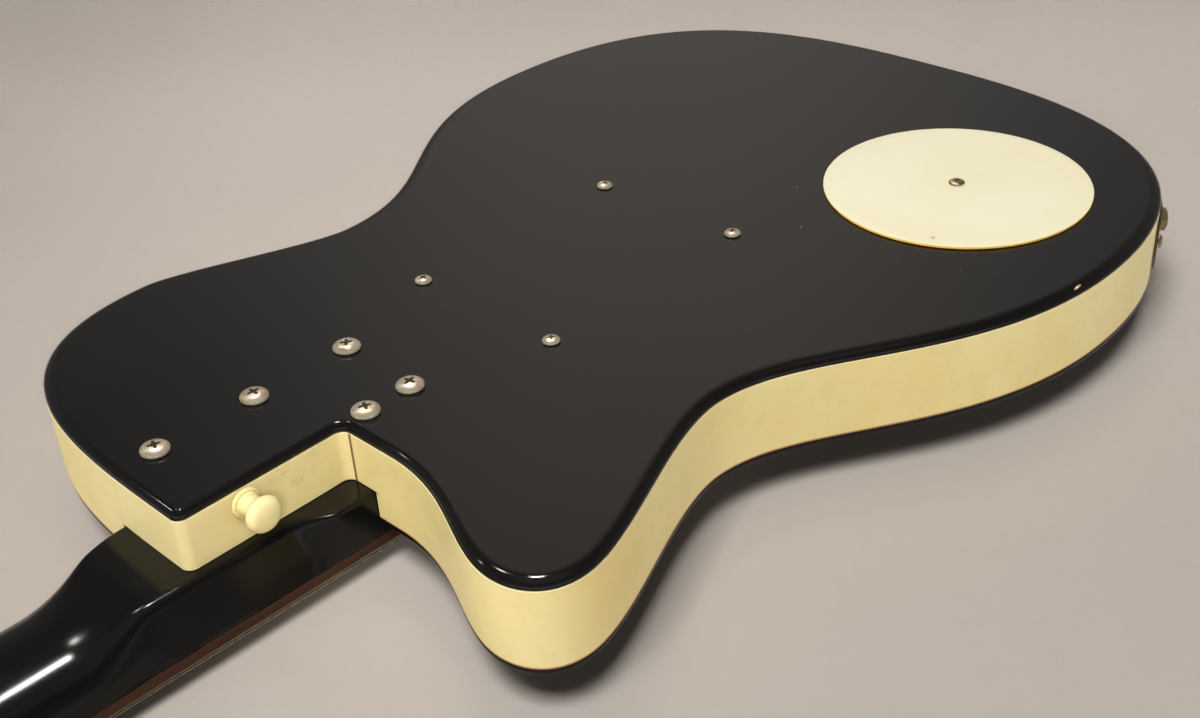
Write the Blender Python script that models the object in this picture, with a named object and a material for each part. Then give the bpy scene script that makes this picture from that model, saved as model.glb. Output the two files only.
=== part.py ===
"""Single-cutaway semi-hollow electric guitar, lying on its front with its back up.

Lengths are in metres. The guitar's own drawing has x along the strings with the saddle at 0, the tail
at +x and the head at -x, y towards the bass side, and z = 0 on the back's outer face with the front
below it. The last step lifts the whole guitar so that the origin is at the bottom centre of its box.
"""
import math

import bpy
import numpy as np
from mathutils import Vector

# Clearances, and how far a cutter runs past what it cuts
GAP = 0.0003
SLOT_GAP = 0.0005
CUT_PAST = 0.010

# Body outline: places along the strings, and half widths on the bass and treble sides
TAIL_X = 0.176
LOWER_BOUT_X = 0.042
LOWER_BOUT_BASS = 0.1685
LOWER_BOUT_TREBLE = 0.1685
WAIST_X = -0.1265
WAIST_BASS = 0.1025
WAIST_TREBLE = 0.106
UPPER_BOUT_X = -0.211
UPPER_BOUT_BASS = 0.130
END_WALL_X = -0.290
END_WALL_BASS = 0.004
STEP_WALL = 0.014
NOTCH_X = -0.221
NOTCH_TREBLE = 0.040
HORN_TIP_X = -0.2425
HORN_TIP_TREBLE = 0.1125
HORN_SIDE_X = -0.221
HORN_SIDE_TREBLE = 0.134
STEP_CORNER_RADIUS = 0.004
NOTCH_CORNER_RADIUS = 0.004

# Fullness of each stretch of the outline: the pull at its two ends as a share of the stretch
PULL_TAIL_BASS = (0.38, 0.97)
PULL_LOWER_BASS = (0.55, 0.36)
PULL_WAIST_BASS = (0.22, 0.21)
PULL_SHOULDER = (0.94, 0.50)
PULL_CUTAWAY = (0.46, 0.29)
PULL_HORN = (0.55, 0.67)
PULL_WAIST_TREBLE = (0.24, 0.28)
PULL_LOWER_TREBLE = (0.28, 0.52)
PULL_TAIL_TREBLE = (1.04, 0.23)
OUTLINE_STEP = 0.014

# Body layers, from the back's outer face towards the front
BACK_THICKNESS = 0.0032
BACK_EDGE_WIDTH = 0.0044
BACK_EDGE_DROP = 0.0029
CORE_DEPTH = 0.0323
TOP_THICKNESS = 0.0032
TOP_EDGE_RADIUS = 0.001
TAPE_THICKNESS = 0.0005
RIM_WALL = 0.010
BLOCK_BASS = 0.042
BLOCK_TREBLE = 0.042
BLOCK_END_X = -0.165
BAR_FRONT_X = -0.016
BAR_REAR_X = 0.008

# Neck, fingerboard and nut
SCALE_LENGTH = 0.635
FRETS = 21
NUT_WIDTH = 0.043
HEEL_WIDTH = 0.057
FINGERBOARD_END_X = -0.181
HEEL_END_X = -0.178
HEEL_BACK_DEPTH = 0.0245
NECK_FACE_DEPTH = 0.044
FINGERBOARD_THICKNESS = 0.006
CAMBER = 0.0011
FRET_WIDTH = 0.0024
FRET_CROWN = 0.0012
FRET_HEIGHT = 0.001
NECK_THICKNESS_BODY = 0.0158
NECK_THICKNESS_NUT = 0.0140
NUT_THICKNESS = 0.005
NUT_HEIGHT = 0.0074
NUT_ROUNDING = 0.0012
HEEL_LEAN_TREBLE = -0.237
HEEL_LEAN_BASS = -0.290
HEEL_LEAN_LENGTH = 0.016
HEEL_LEAN = 0.41
HEEL_EDGE_TIGHT = 0.0018
HEEL_EDGE_WIDE = 0.0036
HEEL_FALL_START = -0.306
HEEL_FALL_LENGTH = 0.030
NECK_ROUNDNESS = 2.3

# Headstock
HEAD_LENGTH = 0.165
HEAD_WIDTH_NEAR = 0.078
HEAD_WIDTH_TIP = 0.066
HEAD_FACE_DEPTH = 0.0425
HEAD_THICKNESS = 0.0135
HEAD_FLARE_LENGTH = 0.030
HEAD_OVERLAP = 0.006
HEAD_TIP_RISE = 0.007
HEAD_CORNER = 0.006
HEAD_CORNER_WIDTH = 0.0046

# Tuners
POST_FIRST = 0.033
POST_PITCH = 0.035
POST_ROW = 0.020
POST_RADIUS = 0.0031
POST_WAIST_RADIUS = 0.0026
POST_RISE = 0.015
POST_BEVEL = 0.0006
POST_WAIST_LOW = 0.0033
POST_WAIST_HIGH = 0.0022
GEAR_RADIUS = 0.0056
GEAR_TEETH = 12
GEAR_TOOTH = 0.0009
GEAR_THICKNESS = 0.003
TUNER_PLATE_THICKNESS = 0.0010
TUNER_PLATE_WIDTH = 0.017
TUNER_PLATE_LENGTH = 0.098
TUNER_PLATE_CORNER = 0.003
WORM_RADIUS = 0.0026
WORM_LENGTH = 0.009
KEY_SHAFT_RADIUS = 0.0016
KEY_REACH = 0.028
KEY_END = 0.001
KEY_COLLAR_LENGTH = 0.003
KEY_COLLAR_RADIUS = 0.0024
BUTTON_LENGTH = 0.016
BUTTON_HALF_WIDTH = 0.0085
BUTTON_HALF_THICKNESS = 0.0038
LUG_THICKNESS = 0.0016
LUG_WIDTH = 0.0062
LUG_RISE = 0.0006

# Strings, first to sixth, and their heights in front of the back's face
STRING_DIAMETERS = (0.00025, 0.00033, 0.00043, 0.00066, 0.00091, 0.00117)
STRING_SPREAD_NUT = 0.0355
STRING_SPREAD_SADDLE = 0.052
STRING_DEPTH_NUT = 0.0522
STRING_DEPTH_SADDLE = 0.0552
STRING_POST_DEPTH = 0.0462
STRING_BALL_RADIUS = 0.0019
STRING_BALL_LENGTH = 0.0032
STRING_BALL_PLAY = 0.0004
STRING_BREAK = 0.004
STRING_WINDS = 1.5
STRING_WIND_GAP = 0.0002

# Bridge
BRIDGE_PLATE_FRONT_X = -0.012
BRIDGE_PLATE_REAR_X = 0.032
BRIDGE_PLATE_WIDTH = 0.070
BRIDGE_PLATE_THICKNESS = 0.0016
BRIDGE_LIP_HEIGHT = 0.0072
BRIDGE_NOTCH_WIDTH = 0.0021
BRIDGE_NOTCH_DEPTH = 0.0042
SADDLE_LENGTH = 0.062
SADDLE_THICKNESS = 0.008
SADDLE_CREST = 0.0048
SADDLE_ROUNDING = 0.0015
BRIDGE_SCREW_X = -0.0085
BRIDGE_SCREW_ROW = 0.025

# Pickups
NECK_PICKUP_X = -0.137
BRIDGE_PICKUP_X = -0.030
PICKUP_SHIFT = 0.002
PICKUP_RADIUS = 0.008
PICKUP_LENGTH = 0.066
PICKUP_RISE = 0.0088
PICKUP_WALL = 0.0009
PICKUP_END_ROUNDING = 0.0015
PICKUP_SLOT_CORNER = 0.002
PICKUP_TROUGH_WIDTH = 0.0104
PICKUP_EAR_REACH = 0.0415
PICKUP_EAR_THICKNESS = 0.0025
PICKUP_EAR_WIDTH = 0.009
PICKUP_EAR_ROOT = 0.004
PICKUP_SCREW_ROW = 0.0365
COIL_DEPTH = 0.006
COIL_CORNER = 0.002

# Controls under the round rear cover
COVER_X = 0.063
COVER_TREBLE = 0.0833
COVER_RADIUS = 0.0571
COVER_THICKNESS = 0.0012
COVER_EDGE = 0.0003
ACCESS_RADIUS = 0.050
ACCESS_BAR_WIDTH = 0.016
POT_PLACES = ((0.052, -0.108), (0.097, -0.084))
POT_RADIUS = 0.012
POT_DEPTH = 0.0095
POT_BUSHING_RADIUS = 0.0047
POT_BUSHING_RISE = 0.005
POT_SHAFT_RADIUS = 0.003
POT_SHAFT_SINK = 0.004
KNOB_HEIGHT = 0.0188
KNOB_TOP_RADIUS = 0.0082
KNOB_WAIST_RADIUS = 0.0095
KNOB_SKIRT_RADIUS = 0.0125
KNOB_SKIRT_HEIGHT = 0.0047
KNOB_BEVEL = 0.0008
KNOB_BUSHING_ROOM = 0.0012
SWITCH_PLACE = (0.026, -0.076)
SWITCH_LENGTH = 0.028
SWITCH_WIDTH = 0.016
SWITCH_DEPTH = 0.014
SWITCH_BUSHING_RADIUS = 0.0058
SWITCH_BUSHING_RISE = 0.005
LEVER_BALL_RADIUS = 0.0039
LEVER_RADIUS = 0.0014
LEVER_TAPER = 0.9
LEVER_RISE = 0.0145
LEVER_KNOB_RADIUS = 0.0030
LEVER_TAIL = 0.003
LEVER_ROOM = 0.001

# Jack in the rim, on the treble side between the lower bout and the tail
JACK_X = 0.1217
JACK_PLATE_LENGTH = 0.054
JACK_PLATE_HEIGHT = 0.024
JACK_PLATE_THICKNESS = 0.0009
JACK_BARREL_RADIUS = 0.0040
JACK_BORE_RADIUS = 0.0033
JACK_BARREL_RISE = 0.0052
JACK_BORE_LENGTH = 0.027
JACK_MOUTH_EDGE = 0.0005
JACK_SEAT = 0.002
JACK_BODY_RADIUS = 0.008
JACK_BODY_LENGTH = 0.016
JACK_NUT_FLATS = 0.0096
JACK_NUT_THICKNESS = 0.003
JACK_SCREW_SPACING = 0.042

# Strap buttons: one on the step wall, one on the tail
STRAP_STEP_X = -0.264
STRAP_STEP_DEPTH = 0.0095
STRAP_FLANGE_RADIUS = 0.0055
STRAP_WAIST_RADIUS = 0.0034
STRAP_HEAD_RADIUS = 0.0063
STRAP_HEIGHT = 0.0135
STRAP_SCREW_RADIUS = 0.0017
STRAP_SCREW_LENGTH = 0.018
STRAP_SCREW_POINT = 0.003

# Screws: places of the neck screws, and head and shank sizes
NECK_SCREW_BASS_ROW = 0.0228
NECK_SCREW_TREBLE_ROW = 0.0162
NECK_SCREW_BASS_X = (-0.1890, -0.2316, -0.2734)
NECK_SCREW_TREBLE_X = (-0.1910, -0.2117)
NECK_SCREW_HEAD = 0.0054
NECK_SCREW_DOME = 0.0029
NECK_SCREW_SHANK = 0.0021
NECK_SCREW_LENGTH = 0.040
PICKUP_SCREW_HEAD = 0.0035
PICKUP_SCREW_DOME = 0.0019
PICKUP_SCREW_SHANK = 0.0014
COVER_SCREW_HEAD = 0.0035
COVER_SCREW_DOME = 0.0014
COVER_SCREW_SHANK = 0.0014
COVER_SCREW_LENGTH = 0.0045
SMALL_SCREW_HEAD = 0.0028
SMALL_SCREW_DOME = 0.0015
SMALL_SCREW_SHANK = 0.0012
SMALL_SCREW_LENGTH = 0.010

# Pickguard on the front, treble side
GUARD_FRONT_X = -0.168
GUARD_REAR_X = -0.006
GUARD_NEAR = 0.046
GUARD_FAR = 0.088
GUARD_CORNER = 0.018
GUARD_THICKNESS = 0.0016

# Roundness of the meshes
SCREW_SIDES = 10
TUBE_SIDES = 5
ROUND_SIDES = 18
NUT_SIDES = 24
STRAP_SIDES = 14
WIND_POINTS = 10

# Depths of the layers' faces, measured from the back's outer face
CORE_BACK = -BACK_THICKNESS
CORE_FRONT = CORE_BACK - CORE_DEPTH
TOP_FACE = CORE_FRONT - TOP_THICKNESS
CORE_MIDDLE = (CORE_BACK + CORE_FRONT) / 2
NUT_X = -SCALE_LENGTH
FINGERBOARD_FACE = -NECK_FACE_DEPTH - FINGERBOARD_THICKNESS
HEAD_BACK = -HEAD_FACE_DEPTH + HEAD_THICKNESS
HEAD_TIP_X = NUT_X - HEAD_LENGTH

MATERIALS = {
    "black_gloss": ((0.012, 0.011, 0.011), 0.12, 0.0),
    "cream_tape": ((0.74, 0.60, 0.27), 0.35, 0.0),
    "cream_plastic": ((0.86, 0.78, 0.55), 0.30, 0.0),
    "frame_wood": ((0.55, 0.38, 0.20), 0.60, 0.0),
    "rosewood": ((0.07, 0.03, 0.018), 0.50, 0.0),
    "nickel": ((0.62, 0.60, 0.56), 0.28, 1.0),
    "chrome": ((0.78, 0.78, 0.78), 0.10, 1.0),
    "steel": ((0.50, 0.50, 0.50), 0.35, 1.0),
    "string_metal": ((0.66, 0.62, 0.55), 0.30, 1.0),
    "nut_metal": ((0.70, 0.70, 0.70), 0.35, 1.0),
    "coil_wire": ((0.30, 0.08, 0.03), 0.50, 0.0),
    "knob_plastic": ((0.02, 0.02, 0.02), 0.25, 0.0),
    "white_plastic": ((0.80, 0.78, 0.70), 0.35, 0.0),
}


def clear_scene():
    """Remove every object of the file that the script runs in."""
    for item in list(bpy.data.objects):
        bpy.data.objects.remove(item, do_unlink=True)


def finish_of(name):
    """The named material, made on first use."""
    if name in bpy.data.materials:
        return bpy.data.materials[name]
    color, roughness, metallic = MATERIALS[name]
    made = bpy.data.materials.new(name)
    made.use_nodes = True
    shader = made.node_tree.nodes["Principled BSDF"]
    shader.inputs["Base Color"].default_value = (*color, 1.0)
    shader.inputs["Roughness"].default_value = roughness
    shader.inputs["Metallic"].default_value = metallic
    return made


# Shapes: each function returns points and faces of closed bodies

def outward(points, faces):
    """Turn all faces round if the signed volume of the body is negative."""
    volume = 0.0
    for face in faces:
        first = points[face[0]]
        for second, third in zip(face[1:-1], face[2:]):
            volume += np.dot(first, np.cross(points[second], points[third]))
    if volume < 0:
        faces = [tuple(reversed(face)) for face in faces]
    return points, faces


def lofted(rings, around=False):
    """A skin over rings of equal count, capped at both ends, or joined end to start."""
    rings = np.asarray(rings, float)
    count, sides = rings.shape[:2]
    faces = []
    last = count if around else count - 1
    for row in range(last):
        lower = row * sides
        upper = (row + 1) % count * sides
        for side in range(sides):
            after = (side + 1) % sides
            faces.append((lower + side, lower + after, upper + after, upper + side))
    if not around:
        faces.append(tuple(reversed(range(sides))))
        faces.append(tuple(range((count - 1) * sides, count * sides)))
    return outward(rings.reshape(-1, 3), faces)


def prism(loop, low, high):
    """A flat outline carried from one height to the other."""
    loop = np.asarray(loop, float)
    rings = [np.column_stack([loop, np.full(len(loop), level)]) for level in (low, high)]
    return lofted(rings)


def box(low, high):
    """A rectangular block between two corners."""
    loop = [(low[0], low[1]), (high[0], low[1]), (high[0], high[1]), (low[0], high[1])]
    return prism(loop, low[2], high[2])


def frame_along(axis):
    """Two unit vectors square to an axis and to each other."""
    axis = Vector(axis).normalized()
    side = axis.orthogonal().normalized()
    return np.array(side), np.array(axis.cross(side)), np.array(axis)


def turned(profile, base=(0, 0, 0), axis=(0, 0, 1), sides=ROUND_SIDES, around=False):
    """Radius and height pairs turned about an axis through the base point."""
    across, over, along = frame_along(axis)
    angles = np.arange(sides) * 2 * math.pi / sides
    circle = np.cos(angles)[:, None] * across + np.sin(angles)[:, None] * over
    rings = [np.asarray(base) + radius * circle + height * along for radius, height in profile]
    return lofted(rings, around)


def tube(path, radii, sides=TUBE_SIDES):
    """A round wire of the given radius at each point of a path."""
    path = np.asarray(path, float)
    radii = np.broadcast_to(radii, len(path))
    ahead = np.gradient(path, axis=0)
    ahead /= np.linalg.norm(ahead, axis=1)[:, None]
    side = frame_along(ahead[0])[0]
    angles = np.arange(sides) * 2 * math.pi / sides
    rings = []
    for point, way, radius in zip(path, ahead, radii):
        side = side - way * np.dot(side, way)
        side /= np.linalg.norm(side)
        over = np.cross(way, side)
        circle = np.cos(angles)[:, None] * side + np.sin(angles)[:, None] * over
        rings.append(point + radius * circle)
    return lofted(rings)


def together(*bodies):
    """Several bodies as one set of points and faces, for cutters."""
    points = []
    faces = []
    start = 0
    for body_points, body_faces in bodies:
        points.append(body_points)
        faces += [tuple(start + index for index in face) for face in body_faces]
        start += len(body_points)
    return np.concatenate(points), faces


def arc(center, radius, first, last, count):
    """Points of a circle between two angles in degrees."""
    angles = np.radians(np.linspace(first, last, count))
    return np.array(center) + radius * np.column_stack([np.cos(angles), np.sin(angles)])


def rounded_rectangle(low, high, radius, count=5):
    """A rectangle in plan with round corners."""
    corners = ((high[0] - radius, high[1] - radius, 0), (low[0] + radius, high[1] - radius, 90),
               (low[0] + radius, low[1] + radius, 180), (high[0] - radius, low[1] + radius, 270))
    return np.concatenate([arc((x, y), radius, start, start + 90, count) for x, y, start in corners])


# Objects, cuts and unions

def piece(name, body, finish, pivot=(0, 0, 0)):
    """An object of the guitar, with its origin at the pivot."""
    points, faces = body
    pivot = np.asarray(pivot, float)
    mesh = bpy.data.meshes.new(name)
    mesh.from_pydata((np.asarray(points) - pivot).tolist(), [], faces)
    mesh.shade_smooth()
    mesh.set_sharp_from_angle(angle=math.radians(35))
    mesh.materials.append(finish_of(finish))
    made = bpy.data.objects.new(name, mesh)
    made.location = pivot
    bpy.context.scene.collection.objects.link(made)
    return made


def tool(name, body):
    """A body that only cuts or joins: hidden from renders and drawn as wire."""
    made = piece(name, body, "steel")
    made.hide_render = True
    made.display_type = "WIRE"
    return made


def shape_with(target, body, operation):
    """Join the body to the target, or cut it away, with a Boolean modifier."""
    count = len(target.modifiers)
    helper = tool(f"{target.name}_shaper_{count}", body)
    modifier = target.modifiers.new(f"shaper_{count}", "BOOLEAN")
    modifier.operation = operation
    modifier.solver = "EXACT"
    modifier.object = helper


def cut(target, *bodies):
    """Cut bodies away from the target."""
    shape_with(target, together(*bodies), "DIFFERENCE")


def join(target, body):
    """Unite a body with the target."""
    shape_with(target, body, "UNION")


# Outline of the body in plan

def stretch(start, end, ways, pulls):
    """Points and directions of a cubic whose ends leave along x or along y.

    The pull at each end is a share of the span in that end's direction.
    """
    start = np.array(start, float)
    end = np.array(end, float)
    span = end - start
    axis = {"x": np.array([1.0, 0.0]), "y": np.array([0.0, 1.0])}
    first = start + axis[ways[0]] * span * pulls[0]
    second = end - axis[ways[1]] * span * pulls[1]
    count = max(6, int(np.linalg.norm(span) / OUTLINE_STEP))
    share = np.linspace(0, 1, count, endpoint=False)[:, None]
    rest = 1 - share
    points = rest**3 * start + 3 * rest**2 * share * first + 3 * rest * share**2 * second + share**3 * end
    ways_out = rest**2 * (first - start) + 2 * rest * share * (second - first) + share**2 * (end - second)
    return points, ways_out / np.linalg.norm(ways_out, axis=1)[:, None]


def inset_path(stretches, closing, closing_way, inset):
    """Stretches one after another, moved towards the inside of the body."""
    points = np.concatenate([item[0] for item in stretches] + [[closing]])
    ways = np.concatenate([item[1] for item in stretches] + [[closing_way]])
    inside = np.column_stack([-ways[:, 1], ways[:, 0]])
    return points + inside * inset


def bass_path(inset=0.0):
    """From the tail round the bass side to the end wall."""
    tail = (TAIL_X, 0)
    lower = (LOWER_BOUT_X, LOWER_BOUT_BASS)
    waist = (WAIST_X, WAIST_BASS)
    upper = (UPPER_BOUT_X, UPPER_BOUT_BASS)
    end = (END_WALL_X, END_WALL_BASS)
    stretches = [stretch(tail, lower, "yx", PULL_TAIL_BASS), stretch(lower, waist, "xx", PULL_LOWER_BASS),
                 stretch(waist, upper, "xx", PULL_WAIST_BASS), stretch(upper, end, "xy", PULL_SHOULDER)]
    return inset_path(stretches, end, (0, -1), inset)


def treble_path(inset=0.0):
    """From the notch wall round the horn and the treble side to the tail."""
    notch = (NOTCH_X, -NOTCH_TREBLE)
    tip = (HORN_TIP_X, -HORN_TIP_TREBLE)
    side = (HORN_SIDE_X, -HORN_SIDE_TREBLE)
    waist = (WAIST_X, -WAIST_TREBLE)
    lower = (LOWER_BOUT_X, -LOWER_BOUT_TREBLE)
    tail = (TAIL_X, 0)
    stretches = [stretch(notch, tip, "yy", PULL_CUTAWAY), stretch(tip, side, "yx", PULL_HORN),
                 stretch(side, waist, "xx", PULL_WAIST_TREBLE),
                 stretch(waist, lower, "xx", PULL_LOWER_TREBLE),
                 stretch(lower, tail, "xy", PULL_TAIL_TREBLE)]
    return inset_path(stretches, tail, (0, 1), inset)[:-1]


def outline(inset=0.0):
    """The whole outline, anticlockwise in plan, moved inwards by the inset."""
    outer = max(STEP_CORNER_RADIUS, inset + GAP)
    inner = NOTCH_CORNER_RADIUS
    corner = arc((END_WALL_X + outer, -STEP_WALL + outer), outer - inset, 180, 270, 6)
    notch = arc((NOTCH_X - inner, -STEP_WALL - inner), inner + inset, 90, 0, 6)
    return np.concatenate([bass_path(inset), corner, notch, treble_path(inset)])


def crossing(path, axis, value):
    """The point where a stretch of path with steady x or y reaches a value."""
    order = np.argsort(path[:, axis])
    other = np.interp(value, path[order, axis], path[order, 1 - axis])
    return [value, other] if axis == 0 else [other, value]


def front_chamber():
    """Plan of the hollow between the neck block, the rim and the bridge bar."""
    bass = bass_path(RIM_WALL)
    bass = bass[bass[:, 0] < LOWER_BOUT_X]
    peak = int(np.argmax(np.where(bass[:, 0] < WAIST_X, bass[:, 1], 0)))
    start = crossing(bass[:peak + 1], 0, BAR_FRONT_X)
    stop = crossing(bass[peak:], 1, BLOCK_BASS)
    middle = [p for i, p in enumerate(bass) if p[0] < BAR_FRONT_X and (i <= peak or p[1] > BLOCK_BASS)]
    treble = treble_path(RIM_WALL)
    low = int(np.argmin(np.where(treble[:, 0] < WAIST_X, treble[:, 1], 0)))
    rise = treble[:low + 1]
    run = treble[low:]
    run = run[run[:, 0] < LOWER_BOUT_X]
    enter = crossing(rise, 1, -BLOCK_TREBLE)
    leave = crossing(run, 0, BAR_FRONT_X)
    far = [p for p in rise if p[1] < -BLOCK_TREBLE] + [p for p in run[1:] if p[0] < BAR_FRONT_X]
    block = [[BLOCK_END_X, BLOCK_BASS], [BLOCK_END_X, -BLOCK_TREBLE]]
    return np.array([start] + middle + [stop] + block + [enter] + far + [leave])


def rear_chamber():
    """Plan of the hollow between the bridge bar and the tail."""
    bass = bass_path(RIM_WALL)
    treble = treble_path(RIM_WALL)
    bass_run = bass[bass[:, 0] > WAIST_X]
    low = int(np.argmin(np.where(treble[:, 0] < WAIST_X, treble[:, 1], 0)))
    treble_run = treble[low:]
    treble_run = treble_run[treble_run[:, 0] > WAIST_X]
    lower = int(np.argmin(treble_run[:, 1]))
    upper = int(np.argmax(bass_run[:, 1]))
    enter = crossing(treble_run[:lower + 1], 0, BAR_REAR_X)
    leave = crossing(bass_run[upper:], 0, BAR_REAR_X)
    rows = [p for i, p in enumerate(treble_run) if i > lower or p[0] > BAR_REAR_X]
    back = [p for i, p in enumerate(bass_run) if i < upper or p[0] > BAR_REAR_X]
    return np.array([enter] + rows + back + [leave])


# Neck widths and stations shared by the neck, its pocket, the fingerboard and the nut

def neck_half_width(x):
    """Half the neck's width, which tapers evenly from the heel to the nut."""
    return np.interp(x, [NUT_X, FINGERBOARD_END_X], [NUT_WIDTH / 2, HEEL_WIDTH / 2])


def fret_x(number):
    """Place of a fret by the equal-tempered rule."""
    return -SCALE_LENGTH * 2 ** (-number / 12)


def neck_pocket(gap):
    """The space that the heel takes in the body, with a gap round it."""
    start = END_WALL_X - CUT_PAST
    end = HEEL_END_X + gap
    near = neck_half_width(start) + gap
    far = neck_half_width(end) + gap
    loop = [(start, -near), (end, -far), (end, far), (start, near)]
    return prism(loop, TOP_FACE - CUT_PAST, -HEEL_BACK_DEPTH + gap)


def screw_hole(place, radius, high=CUT_PAST, low=HEAD_BACK - HEAD_THICKNESS - CUT_PAST):
    """A cutter along z at a place in plan, from one height to another."""
    return turned([(radius, low), (radius, high)], (*place, 0), sides=SCREW_SIDES)


def screw(base, axis, head, dome, shank, length, sides=SCREW_SIDES):
    """A screw: a domed head that stands on the base point, and a shank down into the work."""
    seat = GAP
    profile = [(shank * 0.35, -length), (shank, -length + shank * 1.6), (shank, seat), (head, seat),
               (head * 0.97, seat + dome * 0.30), (head * 0.78, seat + dome * 0.70),
               (head * 0.50, seat + dome * 0.92), (head * 0.22, seat + dome)]
    return turned(profile, base, axis, sides)


def neck_screw_places():
    """Places of the neck screws, bass row first."""
    bass = [(x, NECK_SCREW_BASS_ROW) for x in NECK_SCREW_BASS_X]
    treble = [(x, -NECK_SCREW_TREBLE_ROW) for x in NECK_SCREW_TREBLE_X]
    return bass + treble


def pickup_screw_places():
    """Places of the pickup screws, neck pickup first."""
    rows = (PICKUP_SHIFT + PICKUP_SCREW_ROW, PICKUP_SHIFT - PICKUP_SCREW_ROW)
    return [(x, y) for x in (NECK_PICKUP_X, BRIDGE_PICKUP_X) for y in rows]


# Jack and strap places

def jack_frame():
    """The jack's point on the rim and the rim's outward direction there."""
    return along_rim(0, 0)


def along_rim(distance, inset):
    """Point and outward direction on the treble rim, a distance along it from the jack."""
    path = treble_path(inset)
    low = int(np.argmin(path[:, 1]))
    run = np.concatenate([path[low:], [[TAIL_X - inset, 0]]])
    steps = np.concatenate([[0], np.cumsum(np.linalg.norm(np.diff(run, axis=0), axis=1))])
    place = np.interp(JACK_X, run[:, 0], steps) + distance
    near = place + np.array([-1, 0, 1]) * JACK_PLATE_THICKNESS
    xs = np.interp(near, steps, run[:, 0])
    ys = np.interp(near, steps, run[:, 1])
    out = np.array([ys[2] - ys[0], xs[0] - xs[2], 0.0])
    return np.array([xs[1], ys[1], CORE_MIDDLE]), out / np.linalg.norm(out)


def radial_hole(point, out, radius, inside, outside):
    """A cutter along the rim's outward direction."""
    return turned([(radius, -inside), (radius, outside)], point, out, SCREW_SIDES)


# Body pieces

def strap_places():
    """Base point and outward direction of both strap buttons."""
    step = (np.array([STRAP_STEP_X, -STEP_WALL, -STRAP_STEP_DEPTH]), np.array([0.0, -1.0, 0.0]))
    tail = (np.array([TAIL_X, 0.0, CORE_MIDDLE]), np.array([1.0, 0.0, 0.0]))
    return step, tail


def rim_holes(gap_radius=GAP):
    """Cutters through the rim for the jack barrel, its plate screws and the strap screws."""
    point, out = jack_frame()
    holes = [radial_hole(point, out, JACK_BARREL_RADIUS + gap_radius, RIM_WALL + CUT_PAST, CUT_PAST)]
    for way in (-1, 1):
        place, direction = along_rim(way * JACK_SCREW_SPACING / 2, 0)
        holes.append(radial_hole(place, direction, SMALL_SCREW_SHANK + gap_radius,
                                 SMALL_SCREW_LENGTH + GAP, CUT_PAST))
    for base, direction in strap_places():
        holes.append(radial_hole(base, direction, STRAP_SCREW_RADIUS + gap_radius,
                                 STRAP_SCREW_LENGTH + 2 * GAP, CUT_PAST))
    return holes


def make_rim_frame():
    """The wooden frame: rim, neck block and bridge bar, with two hollows."""
    inset = TAPE_THICKNESS + GAP
    frame = piece("rim_frame", prism(outline(inset), CORE_FRONT + GAP, CORE_BACK - GAP), "frame_wood")
    hollows = [prism(loop, CORE_FRONT - CUT_PAST, CORE_BACK + CUT_PAST)
               for loop in (front_chamber(), rear_chamber())]
    cut(frame, *hollows)
    cut(frame, neck_pocket(GAP))
    holes = [screw_hole(place, NECK_SCREW_SHANK + GAP) for place in neck_screw_places()]
    holes += [screw_hole(place, SMALL_SCREW_SHANK + GAP, CORE_FRONT + SMALL_SCREW_LENGTH)
              for place in bridge_screw_places()]
    cut(frame, *holes)
    cut(frame, *rim_holes())
    return frame


def make_edge_tape():
    """The cream band round the rim, open where the neck goes in."""
    outer = outline(0.0)
    inner = outline(TAPE_THICKNESS)
    low = CORE_FRONT + GAP
    high = CORE_BACK - GAP
    rings = []
    for out_point, in_point in zip(outer, inner):
        rings.append([(*out_point, low), (*out_point, high), (*in_point, high), (*in_point, low)])
    tape = piece("edge_tape", lofted(rings, around=True), "cream_tape")
    cut(tape, neck_pocket(GAP))
    cut(tape, *rim_holes(2 * GAP))
    return tape


def make_back_panel():
    """The back board with a rolled edge and the access opening under the round cover."""
    steps = [(0.0, -BACK_THICKNESS)]
    for angle in np.radians([0, 28, 56, 90]):
        steps.append((BACK_EDGE_WIDTH * (1 - math.cos(angle)), -BACK_EDGE_DROP * (1 - math.sin(angle))))
    rings = [np.insert(outline(inset), 2, level, axis=1) for inset, level in steps]
    panel = piece("back_panel", lofted(rings), "black_gloss")
    half = math.degrees(math.asin(ACCESS_BAR_WIDTH / 2 / ACCESS_RADIUS))
    center = (COVER_X, -COVER_TREBLE)
    moons = [prism(arc(center, ACCESS_RADIUS, start + half, start + 180 - half, ROUND_SIDES),
                   -BACK_THICKNESS - CUT_PAST, CUT_PAST) for start in (0, 180)]
    cut(panel, *moons)
    holes = [screw_hole(place, NECK_SCREW_SHANK + GAP) for place in neck_screw_places()]
    holes += [screw_hole(place, PICKUP_SCREW_SHANK + GAP) for place in pickup_screw_places()]
    holes.append(screw_hole(center, COVER_SCREW_SHANK + GAP))
    cut(panel, *holes)
    return panel


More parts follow.
